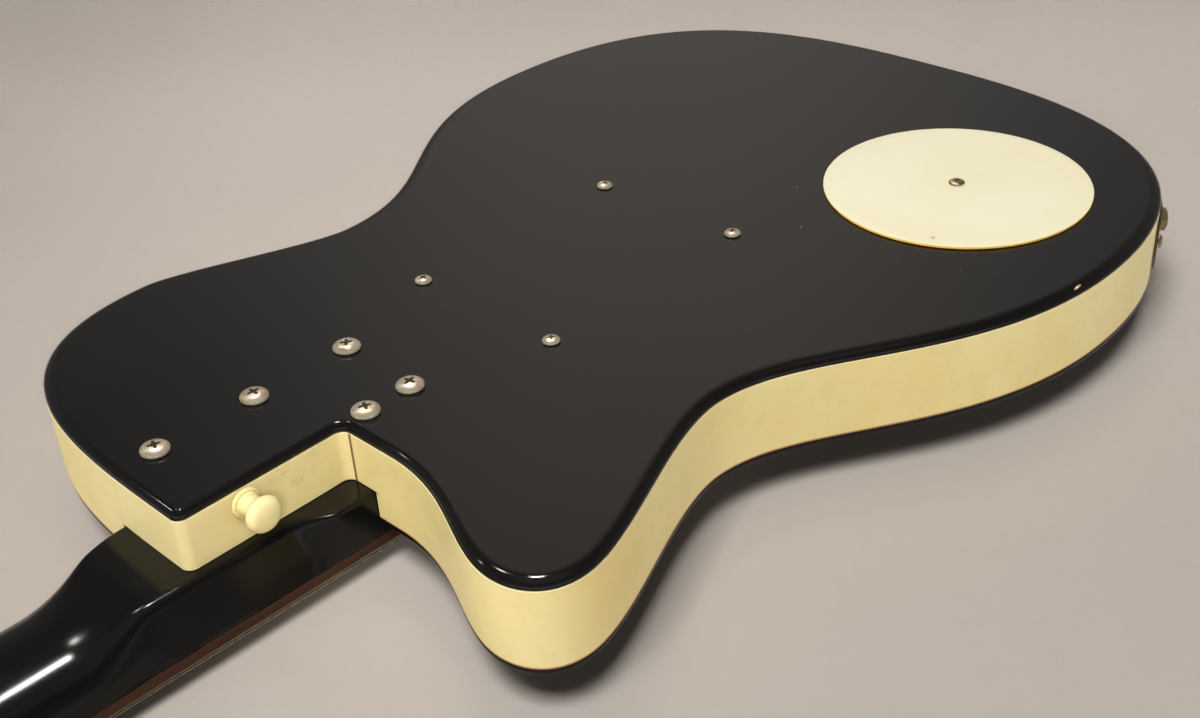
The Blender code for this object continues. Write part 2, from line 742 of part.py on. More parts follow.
def make_top_panel():
    """The front board with the neck pocket, pickup slots and control holes."""
    edge = TOP_EDGE_RADIUS
    steps = ((0.0, CORE_FRONT), (0.0, TOP_FACE + edge), (edge, TOP_FACE))
    rings = [np.insert(outline(inset), 2, level, axis=1) for inset, level in steps]
    panel = piece("top_panel", lofted(rings), "black_gloss")
    cut(panel, neck_pocket(GAP))
    slots = []
    for x in (NECK_PICKUP_X, BRIDGE_PICKUP_X):
        wide = PICKUP_RADIUS + SLOT_GAP
        long = PICKUP_LENGTH / 2 + SLOT_GAP
        slot = rounded_rectangle((x - wide, PICKUP_SHIFT - long), (x + wide, PICKUP_SHIFT + long),
                                 PICKUP_SLOT_CORNER, 3)
        slots.append(prism(slot, TOP_FACE - CUT_PAST, CORE_FRONT + CUT_PAST))
    holes = [screw_hole(place, POT_BUSHING_RADIUS + GAP) for place in POT_PLACES]
    holes.append(screw_hole(SWITCH_PLACE, SWITCH_BUSHING_RADIUS + GAP))
    holes += [screw_hole(place, SMALL_SCREW_SHANK + GAP) for place in bridge_screw_places()]
    cut(panel, *slots)
    cut(panel, *holes)
    return panel


def make_cover():
    """The round rear cover and its single centre screw."""
    center = (COVER_X, -COVER_TREBLE)
    hole = COVER_SCREW_SHANK + GAP
    face = GAP + COVER_THICKNESS
    profile = [(hole, GAP), (COVER_RADIUS, GAP), (COVER_RADIUS, face - COVER_EDGE),
               (COVER_RADIUS - COVER_EDGE, face), (hole, face)]
    disc = turned(profile, (*center, 0), sides=3 * ROUND_SIDES, around=True)
    piece("control_cover", disc, "cream_plastic")
    base = (*center, face)
    piece("control_cover_screw", screw(base, (0, 0, 1), COVER_SCREW_HEAD, COVER_SCREW_DOME,
                                       COVER_SCREW_SHANK, COVER_SCREW_LENGTH), "nickel")


def make_pickguard():
    """A plain single-layer guard beside the strings."""
    loop = rounded_rectangle((GUARD_FRONT_X, -GUARD_FAR), (GUARD_REAR_X, -GUARD_NEAR), GUARD_CORNER, 6)
    low = TOP_FACE - GAP - GUARD_THICKNESS
    piece("pickguard", prism(loop, low, TOP_FACE - GAP), "white_plastic")


# Neck pieces

def eased(x, start, length):
    """0 before the start and 1 a length further towards the head, with a smooth step between."""
    share = np.clip((start - x) / length, 0, 1)
    return share * share * (3 - 2 * share)


def heel_back(x):
    """Back line of the heel's section, treble side first: a flat between rounded edges, 19 points.

    Each side leans in once it is clear of the body's pocket, sooner in the cutaway than on the bass side.
    """
    half = neck_half_width(x) - GAP
    depth = NECK_FACE_DEPTH - HEEL_BACK_DEPTH
    sides = []
    for start in (HEEL_LEAN_TREBLE, HEEL_LEAN_BASS):
        lean = eased(x, start, HEEL_LEAN_LENGTH)
        foot = np.array((half, 0.0))
        corner = np.array((half - HEEL_LEAN * depth * lean, depth))
        reach = HEEL_EDGE_TIGHT + (HEEL_EDGE_WIDE - HEEL_EDGE_TIGHT) * lean
        first = corner + (foot - corner) / np.linalg.norm(foot - corner) * reach
        last = corner - (reach, 0)
        share = np.linspace(0, 1, 6)[:, None]
        edge = (1 - share) ** 2 * first + 2 * share * (1 - share) * corner + share**2 * last
        wall = foot + (first - foot) * np.array([[0.0], [0.35], [0.7]])
        sides.append(np.concatenate([wall, edge]))
    treble, bass = sides
    middle = (treble[-1] * (-1, 1) + bass[-1]) / 2
    return np.concatenate([treble * (-1, 1), [middle], bass[::-1]])


def shaft_back(x, thickness, points=19):
    """Back line of the shaft's section, treble side first: a round a little fuller than an ellipse."""
    angles = np.linspace(0, math.pi, points)
    half = neck_half_width(x) - GAP
    side = -np.cos(angles)
    y = half * np.sign(side) * np.abs(side) ** (2 / NECK_ROUNDNESS)
    return np.column_stack([y, thickness * np.clip(np.sin(angles), 0, 1) ** (2 / NECK_ROUNDNESS)])


def neck_ring(x, face, back):
    """One cross-section: a back line that stands on the neck's flat face."""
    return np.column_stack([np.full(len(back), x), back[:, 0], face + back[:, 1]])


def neck_back(x):
    """Back line of the neck's section: the heel's, turning into the shaft's past the body."""
    thickness = np.interp(x, [NUT_X, HEEL_FALL_START], [NECK_THICKNESS_NUT, NECK_THICKNESS_BODY])
    fall = eased(x, HEEL_FALL_START, HEEL_FALL_LENGTH)
    return heel_back(x) * (1 - fall) + shaft_back(x, thickness) * fall


def head_outline():
    """Plan of the headstock: a flare from the nut, straight tapering sides and a shallow arched end."""
    near = HEAD_WIDTH_NEAR / 2
    tip = HEAD_WIDTH_TIP / 2
    root = NUT_WIDTH / 4
    start = NUT_X + HEAD_OVERLAP
    share = np.linspace(0, 1, 9)
    ease = share * share * (3 - 2 * share)
    reach = HEAD_FLARE_LENGTH + HEAD_OVERLAP
    flare = np.column_stack([start - reach * share, root + (near - root) * ease])
    inner = tip - HEAD_CORNER_WIDTH
    across = np.linspace(inner, -inner, 7)
    arch = np.column_stack([HEAD_TIP_X + HEAD_TIP_RISE * (across / tip) ** 2, across])
    shoulder = HEAD_TIP_X + HEAD_TIP_RISE + HEAD_CORNER
    lower = flare[::-1] * np.array([1, -1])
    return np.concatenate([flare, [[shoulder, tip]], arch, [[shoulder, -tip]], lower])


def make_neck():
    """Heel, shaft and headstock in one piece, with screw and post holes."""
    face = -NECK_FACE_DEPTH
    round_end = HEEL_FALL_START - HEEL_FALL_LENGTH
    stations = np.concatenate([[HEEL_END_X],
                               HEEL_LEAN_TREBLE - HEEL_LEAN_LENGTH * np.linspace(0, 1, 5),
                               HEEL_LEAN_BASS - HEEL_LEAN_LENGTH * np.linspace(0, 1, 5),
                               HEEL_FALL_START - HEEL_FALL_LENGTH * np.linspace(0, 1, 8)[1:],
                               np.linspace(round_end, NUT_X, 5)[1:]])
    rings = [neck_ring(x, face, neck_back(x)) for x in stations]
    under_nut = NUT_X - NUT_THICKNESS - 2 * GAP
    rings.append(neck_ring(under_nut, face, shaft_back(under_nut, NECK_THICKNESS_NUT)))
    inside = 3 * GAP
    end_face = -HEAD_FACE_DEPTH + inside
    last = shaft_back(under_nut - HEAD_OVERLAP, HEAD_THICKNESS - 2 * inside)
    rings.append(neck_ring(under_nut - HEAD_OVERLAP, end_face, last))
    neck = piece("neck", lofted(rings), "black_gloss")
    join(neck, prism(head_outline(), -HEAD_FACE_DEPTH, HEAD_BACK))
    holes = [screw_hole(place, NECK_SCREW_SHANK + GAP, 0.0, -NECK_SCREW_LENGTH - 2 * GAP)
             for place in neck_screw_places()]
    holes += [screw_hole(place, POST_RADIUS + GAP) for place in post_places()]
    cut(neck, *holes)


def fingerboard_ring(x, lift):
    """A cross-section: a flat underside and a cambered face lifted by the fret."""
    half = neck_half_width(x) - GAP
    side = np.array([-1, -0.5, 0, 0.5, 1.0])
    level = FINGERBOARD_FACE + CAMBER * side**2 - lift
    face = np.column_stack([np.full(len(side), x), half * side, level])
    under = -NECK_FACE_DEPTH - GAP
    return np.concatenate([[(x, half, under)], face[::-1], [(x, -half, under)]])


def make_fingerboard():
    """The cambered board with its frets."""
    rings = [fingerboard_ring(FINGERBOARD_END_X, 0.0)]
    half = FRET_WIDTH / 2
    crown = FRET_CROWN / 2
    for number in range(FRETS, 0, -1):
        x = fret_x(number)
        rings.append(fingerboard_ring(x + half, 0.0))
        rings.append(fingerboard_ring(x + crown, FRET_HEIGHT))
        rings.append(fingerboard_ring(x - crown, FRET_HEIGHT))
        rings.append(fingerboard_ring(x - half, 0.0))
    rings.append(fingerboard_ring(NUT_X + GAP, 0.0))
    piece("fingerboard", lofted(rings), "rosewood")


def make_nut():
    """The nut on the neck's face, just short of the strings."""
    half = NUT_WIDTH / 2 - GAP
    low = NUT_X - NUT_THICKNESS - GAP
    high = NUT_X - GAP
    under = -NECK_FACE_DEPTH - GAP
    top = -NECK_FACE_DEPTH - NUT_HEIGHT
    rings = []
    for y in np.linspace(-half, half, 5):
        dip = CAMBER * (y / half) ** 2
        rings.append([(low, y, under), (high, y, under), (high, y, top + dip),
                      (low + NUT_ROUNDING, y, top + dip), (low, y, top + dip + NUT_ROUNDING)])
    piece("nut", lofted(rings), "nut_metal")


# Tuners

def post_places():
    """Places of the string posts: bass row then treble row, nearest the nut first."""
    rows = [NUT_X - POST_FIRST - POST_PITCH * step for step in range(3)]
    return [(x, POST_ROW) for x in rows] + [(x, -POST_ROW) for x in rows]


def gear_level():
    """Height of the gears' and worms' middle, on the head's back."""
    return HEAD_BACK + GAP + TUNER_PLATE_THICKNESS + GAP + max(GEAR_THICKNESS / 2, WORM_RADIUS)


def worm_offset():
    """Distance from a post's axis to its worm's axis."""
    return GEAR_RADIUS + WORM_RADIUS + GAP


def make_tuner_plate(name, row):
    """One strip for three tuners with lugs that carry the worm shafts."""
    first = NUT_X - POST_FIRST
    middle = first - POST_PITCH + worm_offset() / 2
    low = HEAD_BACK + GAP
    high = low + TUNER_PLATE_THICKNESS
    half = TUNER_PLATE_LENGTH / 2
    wide = TUNER_PLATE_WIDTH / 2
    loop = rounded_rectangle((middle - half, row - wide), (middle + half, row + wide),
                             TUNER_PLATE_CORNER, 3)
    plate = piece(name, prism(loop, low, high), "nickel")
    level = gear_level()
    lug_top = level + WORM_RADIUS + LUG_RISE
    sink = TUNER_PLATE_THICKNESS / 2
    for x, y in post_places():
        if y != row:
            continue
        axis_x = x + worm_offset()
        for way in (-1, 1):
            near = row + way * (WORM_LENGTH / 2 + GAP)
            far = near + way * LUG_THICKNESS
            join(plate, box((axis_x - LUG_WIDTH / 2, min(near, far), low + sink),
                            (axis_x + LUG_WIDTH / 2, max(near, far), lug_top)))
    shafts = []
    for x, y in post_places():
        if y == row:
            shafts.append(turned([(KEY_SHAFT_RADIUS + GAP, -wide * 2), (KEY_SHAFT_RADIUS + GAP, wide * 2)],
                                 (x + worm_offset(), row, level), (0, 1, 0), SCREW_SIDES))
            shafts.append(screw_hole((x, y), POST_RADIUS + GAP))
    cut(plate, *shafts)


def make_post(name, place):
    """A string post with a waist for the windings and its toothed gear at the back."""
    level = gear_level()
    tip = -HEAD_FACE_DEPTH - POST_RISE
    low = level - GEAR_THICKNESS / 2
    high = level + GEAR_THICKNESS / 2
    waist_low = tip + POST_WAIST_LOW
    waist_high = -STRING_POST_DEPTH + POST_WAIST_HIGH
    bevel = POST_BEVEL
    profile = [(POST_RADIUS - bevel, tip), (POST_RADIUS, tip + bevel), (POST_RADIUS, waist_low - bevel),
               (POST_WAIST_RADIUS, waist_low), (POST_WAIST_RADIUS, waist_high - bevel),
               (POST_RADIUS, waist_high), (POST_RADIUS, high), (POST_RADIUS - bevel, high + bevel)]
    post = piece(name, turned(profile, (*place, 0), sides=SCREW_SIDES), "nickel", (*place, level))
    angles = np.arange(2 * GEAR_TEETH) * math.pi / GEAR_TEETH
    rim = GEAR_RADIUS - GEAR_TOOTH * (np.arange(2 * GEAR_TEETH) % 2)
    gear = np.array(place) + np.column_stack([rim * np.cos(angles), rim * np.sin(angles)])
    join(post, prism(gear, low, high))


def make_key(name, place):
    """A key: worm, shaft and a flat oval button in one turning piece."""
    way = math.copysign(1, place[1])
    axis_x = place[0] + worm_offset()
    level = gear_level()
    half = WORM_LENGTH / 2
    lug = half + 2 * GAP + LUG_THICKNESS
    shaft = KEY_SHAFT_RADIUS
    collar = KEY_COLLAR_RADIUS
    collar_start = KEY_REACH - KEY_COLLAR_LENGTH
    worm = WORM_RADIUS
    rows = [(-lug - KEY_END, shaft, shaft), (-half - GAP / 2, shaft, shaft), (-half, worm, worm),
            (half, worm, worm), (half + GAP / 2, shaft, shaft), (collar_start, shaft, shaft),
            (collar_start, collar, collar), (KEY_REACH, collar, collar)]
    for share in (0.12, 0.35, 0.65, 0.88, 1.0):
        swell = math.sqrt(max(1 - (2 * share - 1) ** 2, 0.06))
        rows.append((KEY_REACH + share * BUTTON_LENGTH, BUTTON_HALF_WIDTH * swell,
                     BUTTON_HALF_THICKNESS * max(swell, 0.45)))
    sides = SCREW_SIDES
    angles = np.arange(sides) * 2 * math.pi / sides
    rings = []
    for height, wide, thick in rows:
        across = np.full(sides, place[1] + way * height)
        rings.append(np.column_stack([axis_x + wide * np.cos(angles), across,
                                      level + thick * np.sin(angles)]))
    piece(name, lofted(rings), "nickel", (axis_x, place[1], level))


def make_tuners():
    """Both strips, six posts and six keys, numbered like their strings."""
    make_tuner_plate("tuner_plate_bass", POST_ROW)
    make_tuner_plate("tuner_plate_treble", -POST_ROW)
    for number, place in zip(tuner_numbers(), post_places()):
        make_post(f"tuner_post_{number}", place)
        make_key(f"tuner_key_{number}", place)


def tuner_numbers():
    """String numbers of the posts, in the order of their places."""
    return (6, 5, 4, 1, 2, 3)


# Strings and bridge

def string_y(number, spread):
    """Distance of a string from the centre line, the first string on the treble side."""
    return (number - 3.5) / 5 * spread


def string_path(number):
    """From the ball end over the saddle and the nut, then round the post."""
    radius = STRING_DIAMETERS[number - 1] / 2
    y_saddle = string_y(number, STRING_SPREAD_SADDLE)
    y_nut = string_y(number, STRING_SPREAD_NUT)
    post = np.array(post_places()[tuner_numbers().index(number)])
    lip = BRIDGE_PLATE_REAR_X
    anchor = lip_string_level()
    play = STRING_BALL_PLAY
    ball_end = lip + play + STRING_BALL_LENGTH
    start = [(ball_end + play, y_saddle, anchor), (ball_end, y_saddle, anchor),
             (lip + 2 * play, y_saddle, anchor), (lip + play, y_saddle, anchor)]
    radii = [STRING_BALL_RADIUS * 0.6, STRING_BALL_RADIUS, STRING_BALL_RADIUS, radius]
    crest = SADDLE_CREST / 2
    middle = [(lip - STRING_BREAK, y_saddle, anchor), (crest, y_saddle, -STRING_DEPTH_SADDLE),
              (-crest, y_saddle, -STRING_DEPTH_SADDLE),
              (NUT_X, y_nut, -STRING_DEPTH_NUT), (NUT_X - NUT_THICKNESS - GAP, y_nut, -STRING_DEPTH_NUT)]
    leave = np.array(middle[-1][:2])
    wind = POST_WAIST_RADIUS + GAP + radius
    away = post - leave
    distance = np.linalg.norm(away)
    heading = math.atan2(away[1], away[0])
    turn = math.asin(wind / distance)
    inner = 1 if post[1] > 0 else -1
    touch_angle = heading + inner * (math.pi / 2 + turn)
    steps = int(WIND_POINTS * STRING_WINDS)
    pitch = 2 * radius + STRING_WIND_GAP
    winds = []
    for step in range(steps + 1):
        angle = touch_angle - inner * 2 * math.pi * step / WIND_POINTS
        spot = post + wind * np.array([math.cos(angle), math.sin(angle)])
        winds.append((*spot, -STRING_POST_DEPTH - pitch * step / WIND_POINTS))
    path = start + middle + winds
    radii += [radius] * (len(path) - len(radii))
    return path, radii


def lip_string_level():
    """Height at which the strings pass the bridge plate's rear lip."""
    return TOP_FACE - GAP - BRIDGE_LIP_HEIGHT + BRIDGE_NOTCH_DEPTH / 2 - GAP


def make_strings():
    """The six strings."""
    for number in range(1, 7):
        path, radii = string_path(number)
        piece(f"string_{number}", tube(path, radii), "string_metal")


def bridge_screw_places():
    """Places of the two screws in front of the saddle."""
    return [(BRIDGE_SCREW_X, BRIDGE_SCREW_ROW), (BRIDGE_SCREW_X, -BRIDGE_SCREW_ROW)]


def make_bridge():
    """The plate with its notched rear lip, the wooden saddle and the plate's screws."""
    high = TOP_FACE - GAP
    low = high - BRIDGE_PLATE_THICKNESS
    edge = high - BRIDGE_LIP_HEIGHT
    front = BRIDGE_PLATE_FRONT_X
    rear = BRIDGE_PLATE_REAR_X
    lip = rear - BRIDGE_PLATE_THICKNESS
    half = BRIDGE_PLATE_WIDTH / 2
    section = [(front, high), (rear, high), (rear, edge), (lip, edge), (lip, low), (front, low)]
    rings = [[(x, y, z) for x, z in section] for y in (-half, half)]
    plate = piece("bridge_plate", lofted(rings), "nickel")
    notch = BRIDGE_NOTCH_WIDTH / 2
    notches = []
    for number in range(1, 7):
        y = string_y(number, STRING_SPREAD_SADDLE)
        notches.append(box((lip - CUT_PAST, y - notch, edge - CUT_PAST),
                           (rear + CUT_PAST, y + notch, edge + BRIDGE_NOTCH_DEPTH)))
    cut(plate, *notches)
    cut(plate, *[screw_hole(place, SMALL_SCREW_SHANK + GAP) for place in bridge_screw_places()])
    for number, place in enumerate(bridge_screw_places(), 1):
        piece(f"bridge_screw_{number}", screw((*place, low), (0, 0, -1), SMALL_SCREW_HEAD, SMALL_SCREW_DOME,
                                              SMALL_SCREW_SHANK, SMALL_SCREW_LENGTH), "nickel")
    thick = SADDLE_THICKNESS / 2
    reach = SADDLE_LENGTH / 2
    top = -STRING_DEPTH_SADDLE + max(STRING_DIAMETERS) / 2 + GAP
    base = low - GAP
    rounding = SADDLE_ROUNDING
    profile = [(-thick, base), (thick, base), (thick, top + 2 * rounding), (thick - rounding, top),
               (-thick + rounding, top), (-thick, top + 2 * rounding)]
    rings = [[(x, y, z) for x, z in profile] for y in (-reach, reach)]
    piece("bridge_saddle", lofted(rings), "rosewood")


# Pickups

def make_pickup(label, x):
    """A tube cover with ears for its two screws, and the coil inside."""
    axis_z = TOP_FACE - PICKUP_RISE + PICKUP_RADIUS
    half = PICKUP_LENGTH / 2
    edge = PICKUP_END_ROUNDING
    profile = [(PICKUP_RADIUS - edge, -half), (PICKUP_RADIUS, -half + edge), (PICKUP_RADIUS, half - edge),
               (PICKUP_RADIUS - edge, half)]
    cover = piece(f"pickup_{label}_cover", turned(profile, (x, PICKUP_SHIFT, axis_z), (0, 1, 0)), "chrome")
    ear_low = CORE_FRONT + GAP
    ear_high = ear_low + PICKUP_EAR_THICKNESS
    wide = PICKUP_EAR_WIDTH / 2
    for way in (-1, 1):
        root = PICKUP_SHIFT + way * (half - PICKUP_EAR_ROOT)
        tip = PICKUP_SHIFT + way * PICKUP_EAR_REACH
        join(cover, box((x - wide, min(root, tip), ear_low), (x + wide, max(root, tip), ear_high)))
    trough = PICKUP_TROUGH_WIDTH / 2
    floor = axis_z - math.sqrt(PICKUP_RADIUS**2 - trough**2) + PICKUP_WALL
    inner = half - PICKUP_EAR_ROOT - PICKUP_WALL
    cut(cover, box((x - trough, PICKUP_SHIFT - inner, floor),
                   (x + trough, PICKUP_SHIFT + inner, axis_z + PICKUP_RADIUS + CUT_PAST)))
    rows = (PICKUP_SHIFT + PICKUP_SCREW_ROW, PICKUP_SHIFT - PICKUP_SCREW_ROW)
    cut(cover, *[screw_hole((x, y), PICKUP_SCREW_SHANK + GAP) for y in rows])
    coil = rounded_rectangle((x - trough + GAP, PICKUP_SHIFT - inner + GAP),
                             (x + trough - GAP, PICKUP_SHIFT + inner - GAP), COIL_CORNER, 3)
    piece(f"pickup_{label}_coil", prism(coil, floor + GAP, floor + GAP + COIL_DEPTH), "coil_wire")


def make_pickups():
    """Both pickups and the four screws that hold them from the back."""
    make_pickup("neck", NECK_PICKUP_X)
    make_pickup("bridge", BRIDGE_PICKUP_X)
    length = -CORE_FRONT - GAP
    for number, place in enumerate(pickup_screw_places(), 1):
        piece(f"pickup_screw_{number}", screw((*place, 0), (0, 0, 1), PICKUP_SCREW_HEAD, PICKUP_SCREW_DOME,
                                              PICKUP_SCREW_SHANK, length), "nickel")


# Controls

def make_pots_and_knobs():
    """Each pot's case and hollow bushing, and the knob whose shaft turns in it."""
    for number, place in enumerate(POT_PLACES, 1):
        high = CORE_FRONT + GAP + POT_DEPTH
        seat = CORE_FRONT + GAP
        mouth = TOP_FACE - POT_BUSHING_RISE
        bore = POT_SHAFT_RADIUS + GAP
        bottom = seat + POT_SHAFT_SINK
        case = [(POT_RADIUS, high), (POT_RADIUS, seat), (POT_BUSHING_RADIUS, seat),
                (POT_BUSHING_RADIUS, mouth), (bore, mouth), (bore, bottom)]
        piece(f"pot_{number}", turned(case, (*place, 0)), "steel")
        rim = TOP_FACE - 2 * GAP
        top = TOP_FACE - KNOB_HEIGHT
        recess = POT_BUSHING_RADIUS + KNOB_BUSHING_ROOM
        ceiling = mouth - KNOB_BUSHING_ROOM
        bevel = KNOB_BEVEL
        knob = [(KNOB_TOP_RADIUS - bevel, top), (KNOB_TOP_RADIUS, top + bevel),
                (KNOB_WAIST_RADIUS, rim - KNOB_SKIRT_HEIGHT), (KNOB_SKIRT_RADIUS, rim - bevel),
                (KNOB_SKIRT_RADIUS, rim), (recess, rim), (recess, ceiling), (POT_SHAFT_RADIUS, ceiling),
                (POT_SHAFT_RADIUS, bottom - GAP)]
        piece(f"knob_{number}", turned(knob, (*place, 0)), "knob_plastic", (*place, rim))


def lever_pivot():
    """The selector lever's turning point, inside its bushing."""
    return np.array([*SWITCH_PLACE, TOP_FACE - LEVER_BALL_RADIUS / 2])


def make_selector():
    """The switch case with its bushing, and the lever on its ball."""
    x, y = SWITCH_PLACE
    seat = CORE_FRONT + GAP
    mouth = TOP_FACE - SWITCH_BUSHING_RISE
    half = SWITCH_LENGTH / 2
    wide = SWITCH_WIDTH / 2
    block = box((x - half, y - wide, seat), (x + half, y + wide, seat + SWITCH_DEPTH))
    case = piece("selector_switch", block, "steel")
    bushing = [(SWITCH_BUSHING_RADIUS, seat + SWITCH_DEPTH / 2), (SWITCH_BUSHING_RADIUS, mouth)]
    join(case, turned(bushing, (x, y, 0)))
    bore = LEVER_BALL_RADIUS + GAP
    pivot = lever_pivot()
    tail = LEVER_BALL_RADIUS + LEVER_TAIL
    cut(case, turned([(bore, pivot[2] + tail + LEVER_ROOM), (bore, mouth - CUT_PAST)], (x, y, 0)))
    knob_center = LEVER_RISE - LEVER_KNOB_RADIUS
    ball = arc((0, 0), LEVER_BALL_RADIUS, -68, 68, 5)
    knob = arc((0, knob_center), LEVER_KNOB_RADIUS, -60, 80, 5)
    neck = (LEVER_RADIUS * LEVER_TAPER, knob_center - LEVER_KNOB_RADIUS)
    profile = [(LEVER_RADIUS, -tail), *ball, neck, *knob]
    piece("selector_lever", turned(profile, pivot, (0, 0, -1), SCREW_SIDES), "nickel", pivot)


def make_jack():
    """The curved plate, the socket, its hex nut and the plate's two screws."""
    half = JACK_PLATE_LENGTH / 2
    tall = JACK_PLATE_HEIGHT / 2
    rings = []
    for distance in np.linspace(-half, half, 9):
        point, out = along_rim(distance, 0)
        inner = point + out * GAP
        outer = inner + out * JACK_PLATE_THICKNESS
        up = np.array([0, 0, tall])
        rings.append([inner - up, outer - up, outer + up, inner + up])
    plate = piece("jack_plate", lofted(rings), "nickel")
    point, out = jack_frame()
    cut(plate, *rim_holes())
    face = GAP + JACK_PLATE_THICKNESS
    wall = RIM_WALL + TAPE_THICKNESS + JACK_SEAT
    rise = JACK_BARREL_RISE
    floor = rise - JACK_BORE_LENGTH
    back = -wall - JACK_BODY_LENGTH
    edge = JACK_MOUTH_EDGE
    socket = [(JACK_BODY_RADIUS, back), (JACK_BODY_RADIUS, -wall), (JACK_BARREL_RADIUS, -wall),
              (JACK_BARREL_RADIUS, rise - edge), (JACK_BARREL_RADIUS - edge, rise), (JACK_BORE_RADIUS, rise),
              (JACK_BORE_RADIUS, max(floor, back + JACK_PLATE_THICKNESS))]
    piece("jack_socket", turned(socket, point, out), "nickel")
    low = face + GAP
    high = low + JACK_NUT_THICKNESS
    angles = np.arange(NUT_SIDES) * 2 * math.pi / NUT_SIDES
    fold = (np.degrees(angles) + 30) % 60 - 30
    hexagon = JACK_NUT_FLATS / 2 / np.cos(np.radians(fold))
    bore = np.full(NUT_SIDES, JACK_BARREL_RADIUS + GAP)
    across, over, along = frame_along(out)
    rings = []
    for around, height in ((hexagon, low), (hexagon, high), (bore, high), (bore, low)):
        ring = np.outer(around * np.cos(angles), across) + np.outer(around * np.sin(angles), over)
        rings.append(point + ring + height * along)
    piece("jack_nut", lofted(rings, around=True), "nickel")
    for number, way in enumerate((-1, 1), 1):
        place, direction = along_rim(way * JACK_SCREW_SPACING / 2, 0)
        body = screw(place + direction * face, direction, SMALL_SCREW_HEAD, SMALL_SCREW_DOME,
                     SMALL_SCREW_SHANK, SMALL_SCREW_LENGTH)
        piece(f"jack_plate_screw_{number}", body, "nickel")


def make_strap_buttons():
    """A flanged button on the step wall and one on the tail, each with its screw."""
    height = STRAP_HEIGHT
    profile = [(STRAP_SCREW_RADIUS * 0.4, -STRAP_SCREW_LENGTH),
               (STRAP_SCREW_RADIUS, STRAP_SCREW_POINT - STRAP_SCREW_LENGTH),
               (STRAP_SCREW_RADIUS, GAP), (STRAP_FLANGE_RADIUS, GAP), (STRAP_FLANGE_RADIUS, height * 0.12),
               (STRAP_WAIST_RADIUS * 1.15, height * 0.22), (STRAP_WAIST_RADIUS, height * 0.40),
               (STRAP_WAIST_RADIUS * 1.25, height * 0.56), (STRAP_HEAD_RADIUS * 0.93, height * 0.68),
               (STRAP_HEAD_RADIUS, height * 0.78), (STRAP_HEAD_RADIUS * 0.90, height * 0.90),
               (STRAP_HEAD_RADIUS * 0.58, height * 0.98), (STRAP_HEAD_RADIUS * 0.25, height)]
    for name, (base, direction) in zip(("strap_button_step", "strap_button_tail"), strap_places()):
        piece(name, turned(profile, base, direction, STRAP_SIDES), "cream_plastic")


def make_neck_screws():
    """Five screws through the back and the neck block into the heel."""
    for number, place in enumerate(neck_screw_places(), 1):
        piece(f"neck_screw_{number}", screw((*place, 0), (0, 0, 1), NECK_SCREW_HEAD, NECK_SCREW_DOME,
                                            NECK_SCREW_SHANK, NECK_SCREW_LENGTH), "nickel")


def stand_on_floor():
    """Parent every object to one empty and move it so that the box's bottom centre is the origin."""
    bpy.context.view_layer.update()
    depsgraph = bpy.context.evaluated_depsgraph_get()
    lows = []
    highs = []
    for item in bpy.context.scene.objects:
        if item.type == "MESH" and not item.hide_render:
            shaped = item.evaluated_get(depsgraph)
            corners = np.array([shaped.matrix_world @ Vector(corner) for corner in shaped.bound_box])
            lows.append(corners.min(axis=0))
            highs.append(corners.max(axis=0))
    low = np.min(lows, axis=0)
    high = np.max(highs, axis=0)
    stand = bpy.data.objects.new("guitar", None)
    bpy.context.scene.collection.objects.link(stand)
    for item in list(bpy.context.scene.objects):
        if item is not stand:
            item.parent = stand
    middle = (low + high) / 2
    stand.location = (-middle[0], -middle[1], -low[2])
    bpy.context.view_layer.update()


def main():
    clear_scene()
    make_rim_frame()
    make_edge_tape()
    make_back_panel()
    make_top_panel()
    make_cover()
    make_pickguard()
    make_neck()
    make_fingerboard()
    make_nut()
    make_neck_screws()
    make_pickups()
    make_bridge()
    make_strings()
    make_tuners()
    make_pots_and_knobs()
    make_selector()
    make_jack()
    make_strap_buttons()
    stand_on_floor()


main()
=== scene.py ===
"""Looks of a single-cutaway semi-hollow electric guitar that lies on its front, with its back up.

Sizes are in metres and follow the guitar's own drawing: x along the strings with the saddle at 0, the tail
at +x and the head at -x, y towards the bass side, and z = 0 on the back's outer face with the front below
it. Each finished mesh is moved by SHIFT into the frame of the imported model, and its object stays at the
origin.
"""
import math

import bmesh
import bpy
import numpy as np
from mathutils import Matrix, Vector


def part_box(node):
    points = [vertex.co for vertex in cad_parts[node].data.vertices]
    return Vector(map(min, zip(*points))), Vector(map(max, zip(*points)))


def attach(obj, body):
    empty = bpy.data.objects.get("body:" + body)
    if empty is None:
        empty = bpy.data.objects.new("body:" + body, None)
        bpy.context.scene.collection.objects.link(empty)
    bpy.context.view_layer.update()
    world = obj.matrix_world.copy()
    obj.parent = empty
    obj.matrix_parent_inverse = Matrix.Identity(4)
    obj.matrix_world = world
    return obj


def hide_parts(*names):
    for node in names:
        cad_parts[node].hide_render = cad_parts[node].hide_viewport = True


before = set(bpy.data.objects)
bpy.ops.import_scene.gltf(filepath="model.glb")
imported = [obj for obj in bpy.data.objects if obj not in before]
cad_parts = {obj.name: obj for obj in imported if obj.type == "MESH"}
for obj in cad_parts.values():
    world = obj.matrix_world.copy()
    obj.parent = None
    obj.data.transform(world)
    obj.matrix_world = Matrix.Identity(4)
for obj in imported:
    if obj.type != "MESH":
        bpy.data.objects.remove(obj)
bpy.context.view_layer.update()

# Body outline: places along the strings, and half widths on the bass and treble sides
TAIL_X = 0.176
LOWER_BOUT_X = 0.042
LOWER_BOUT = 0.1685
WAIST_X = -0.1265
WAIST_BASS = 0.1025
WAIST_TREBLE = 0.106
UPPER_BOUT_X = -0.211
UPPER_BOUT_BASS = 0.130
END_WALL_X = -0.290
END_WALL_BASS = 0.004
STEP_WALL = 0.014
NOTCH_X = -0.221
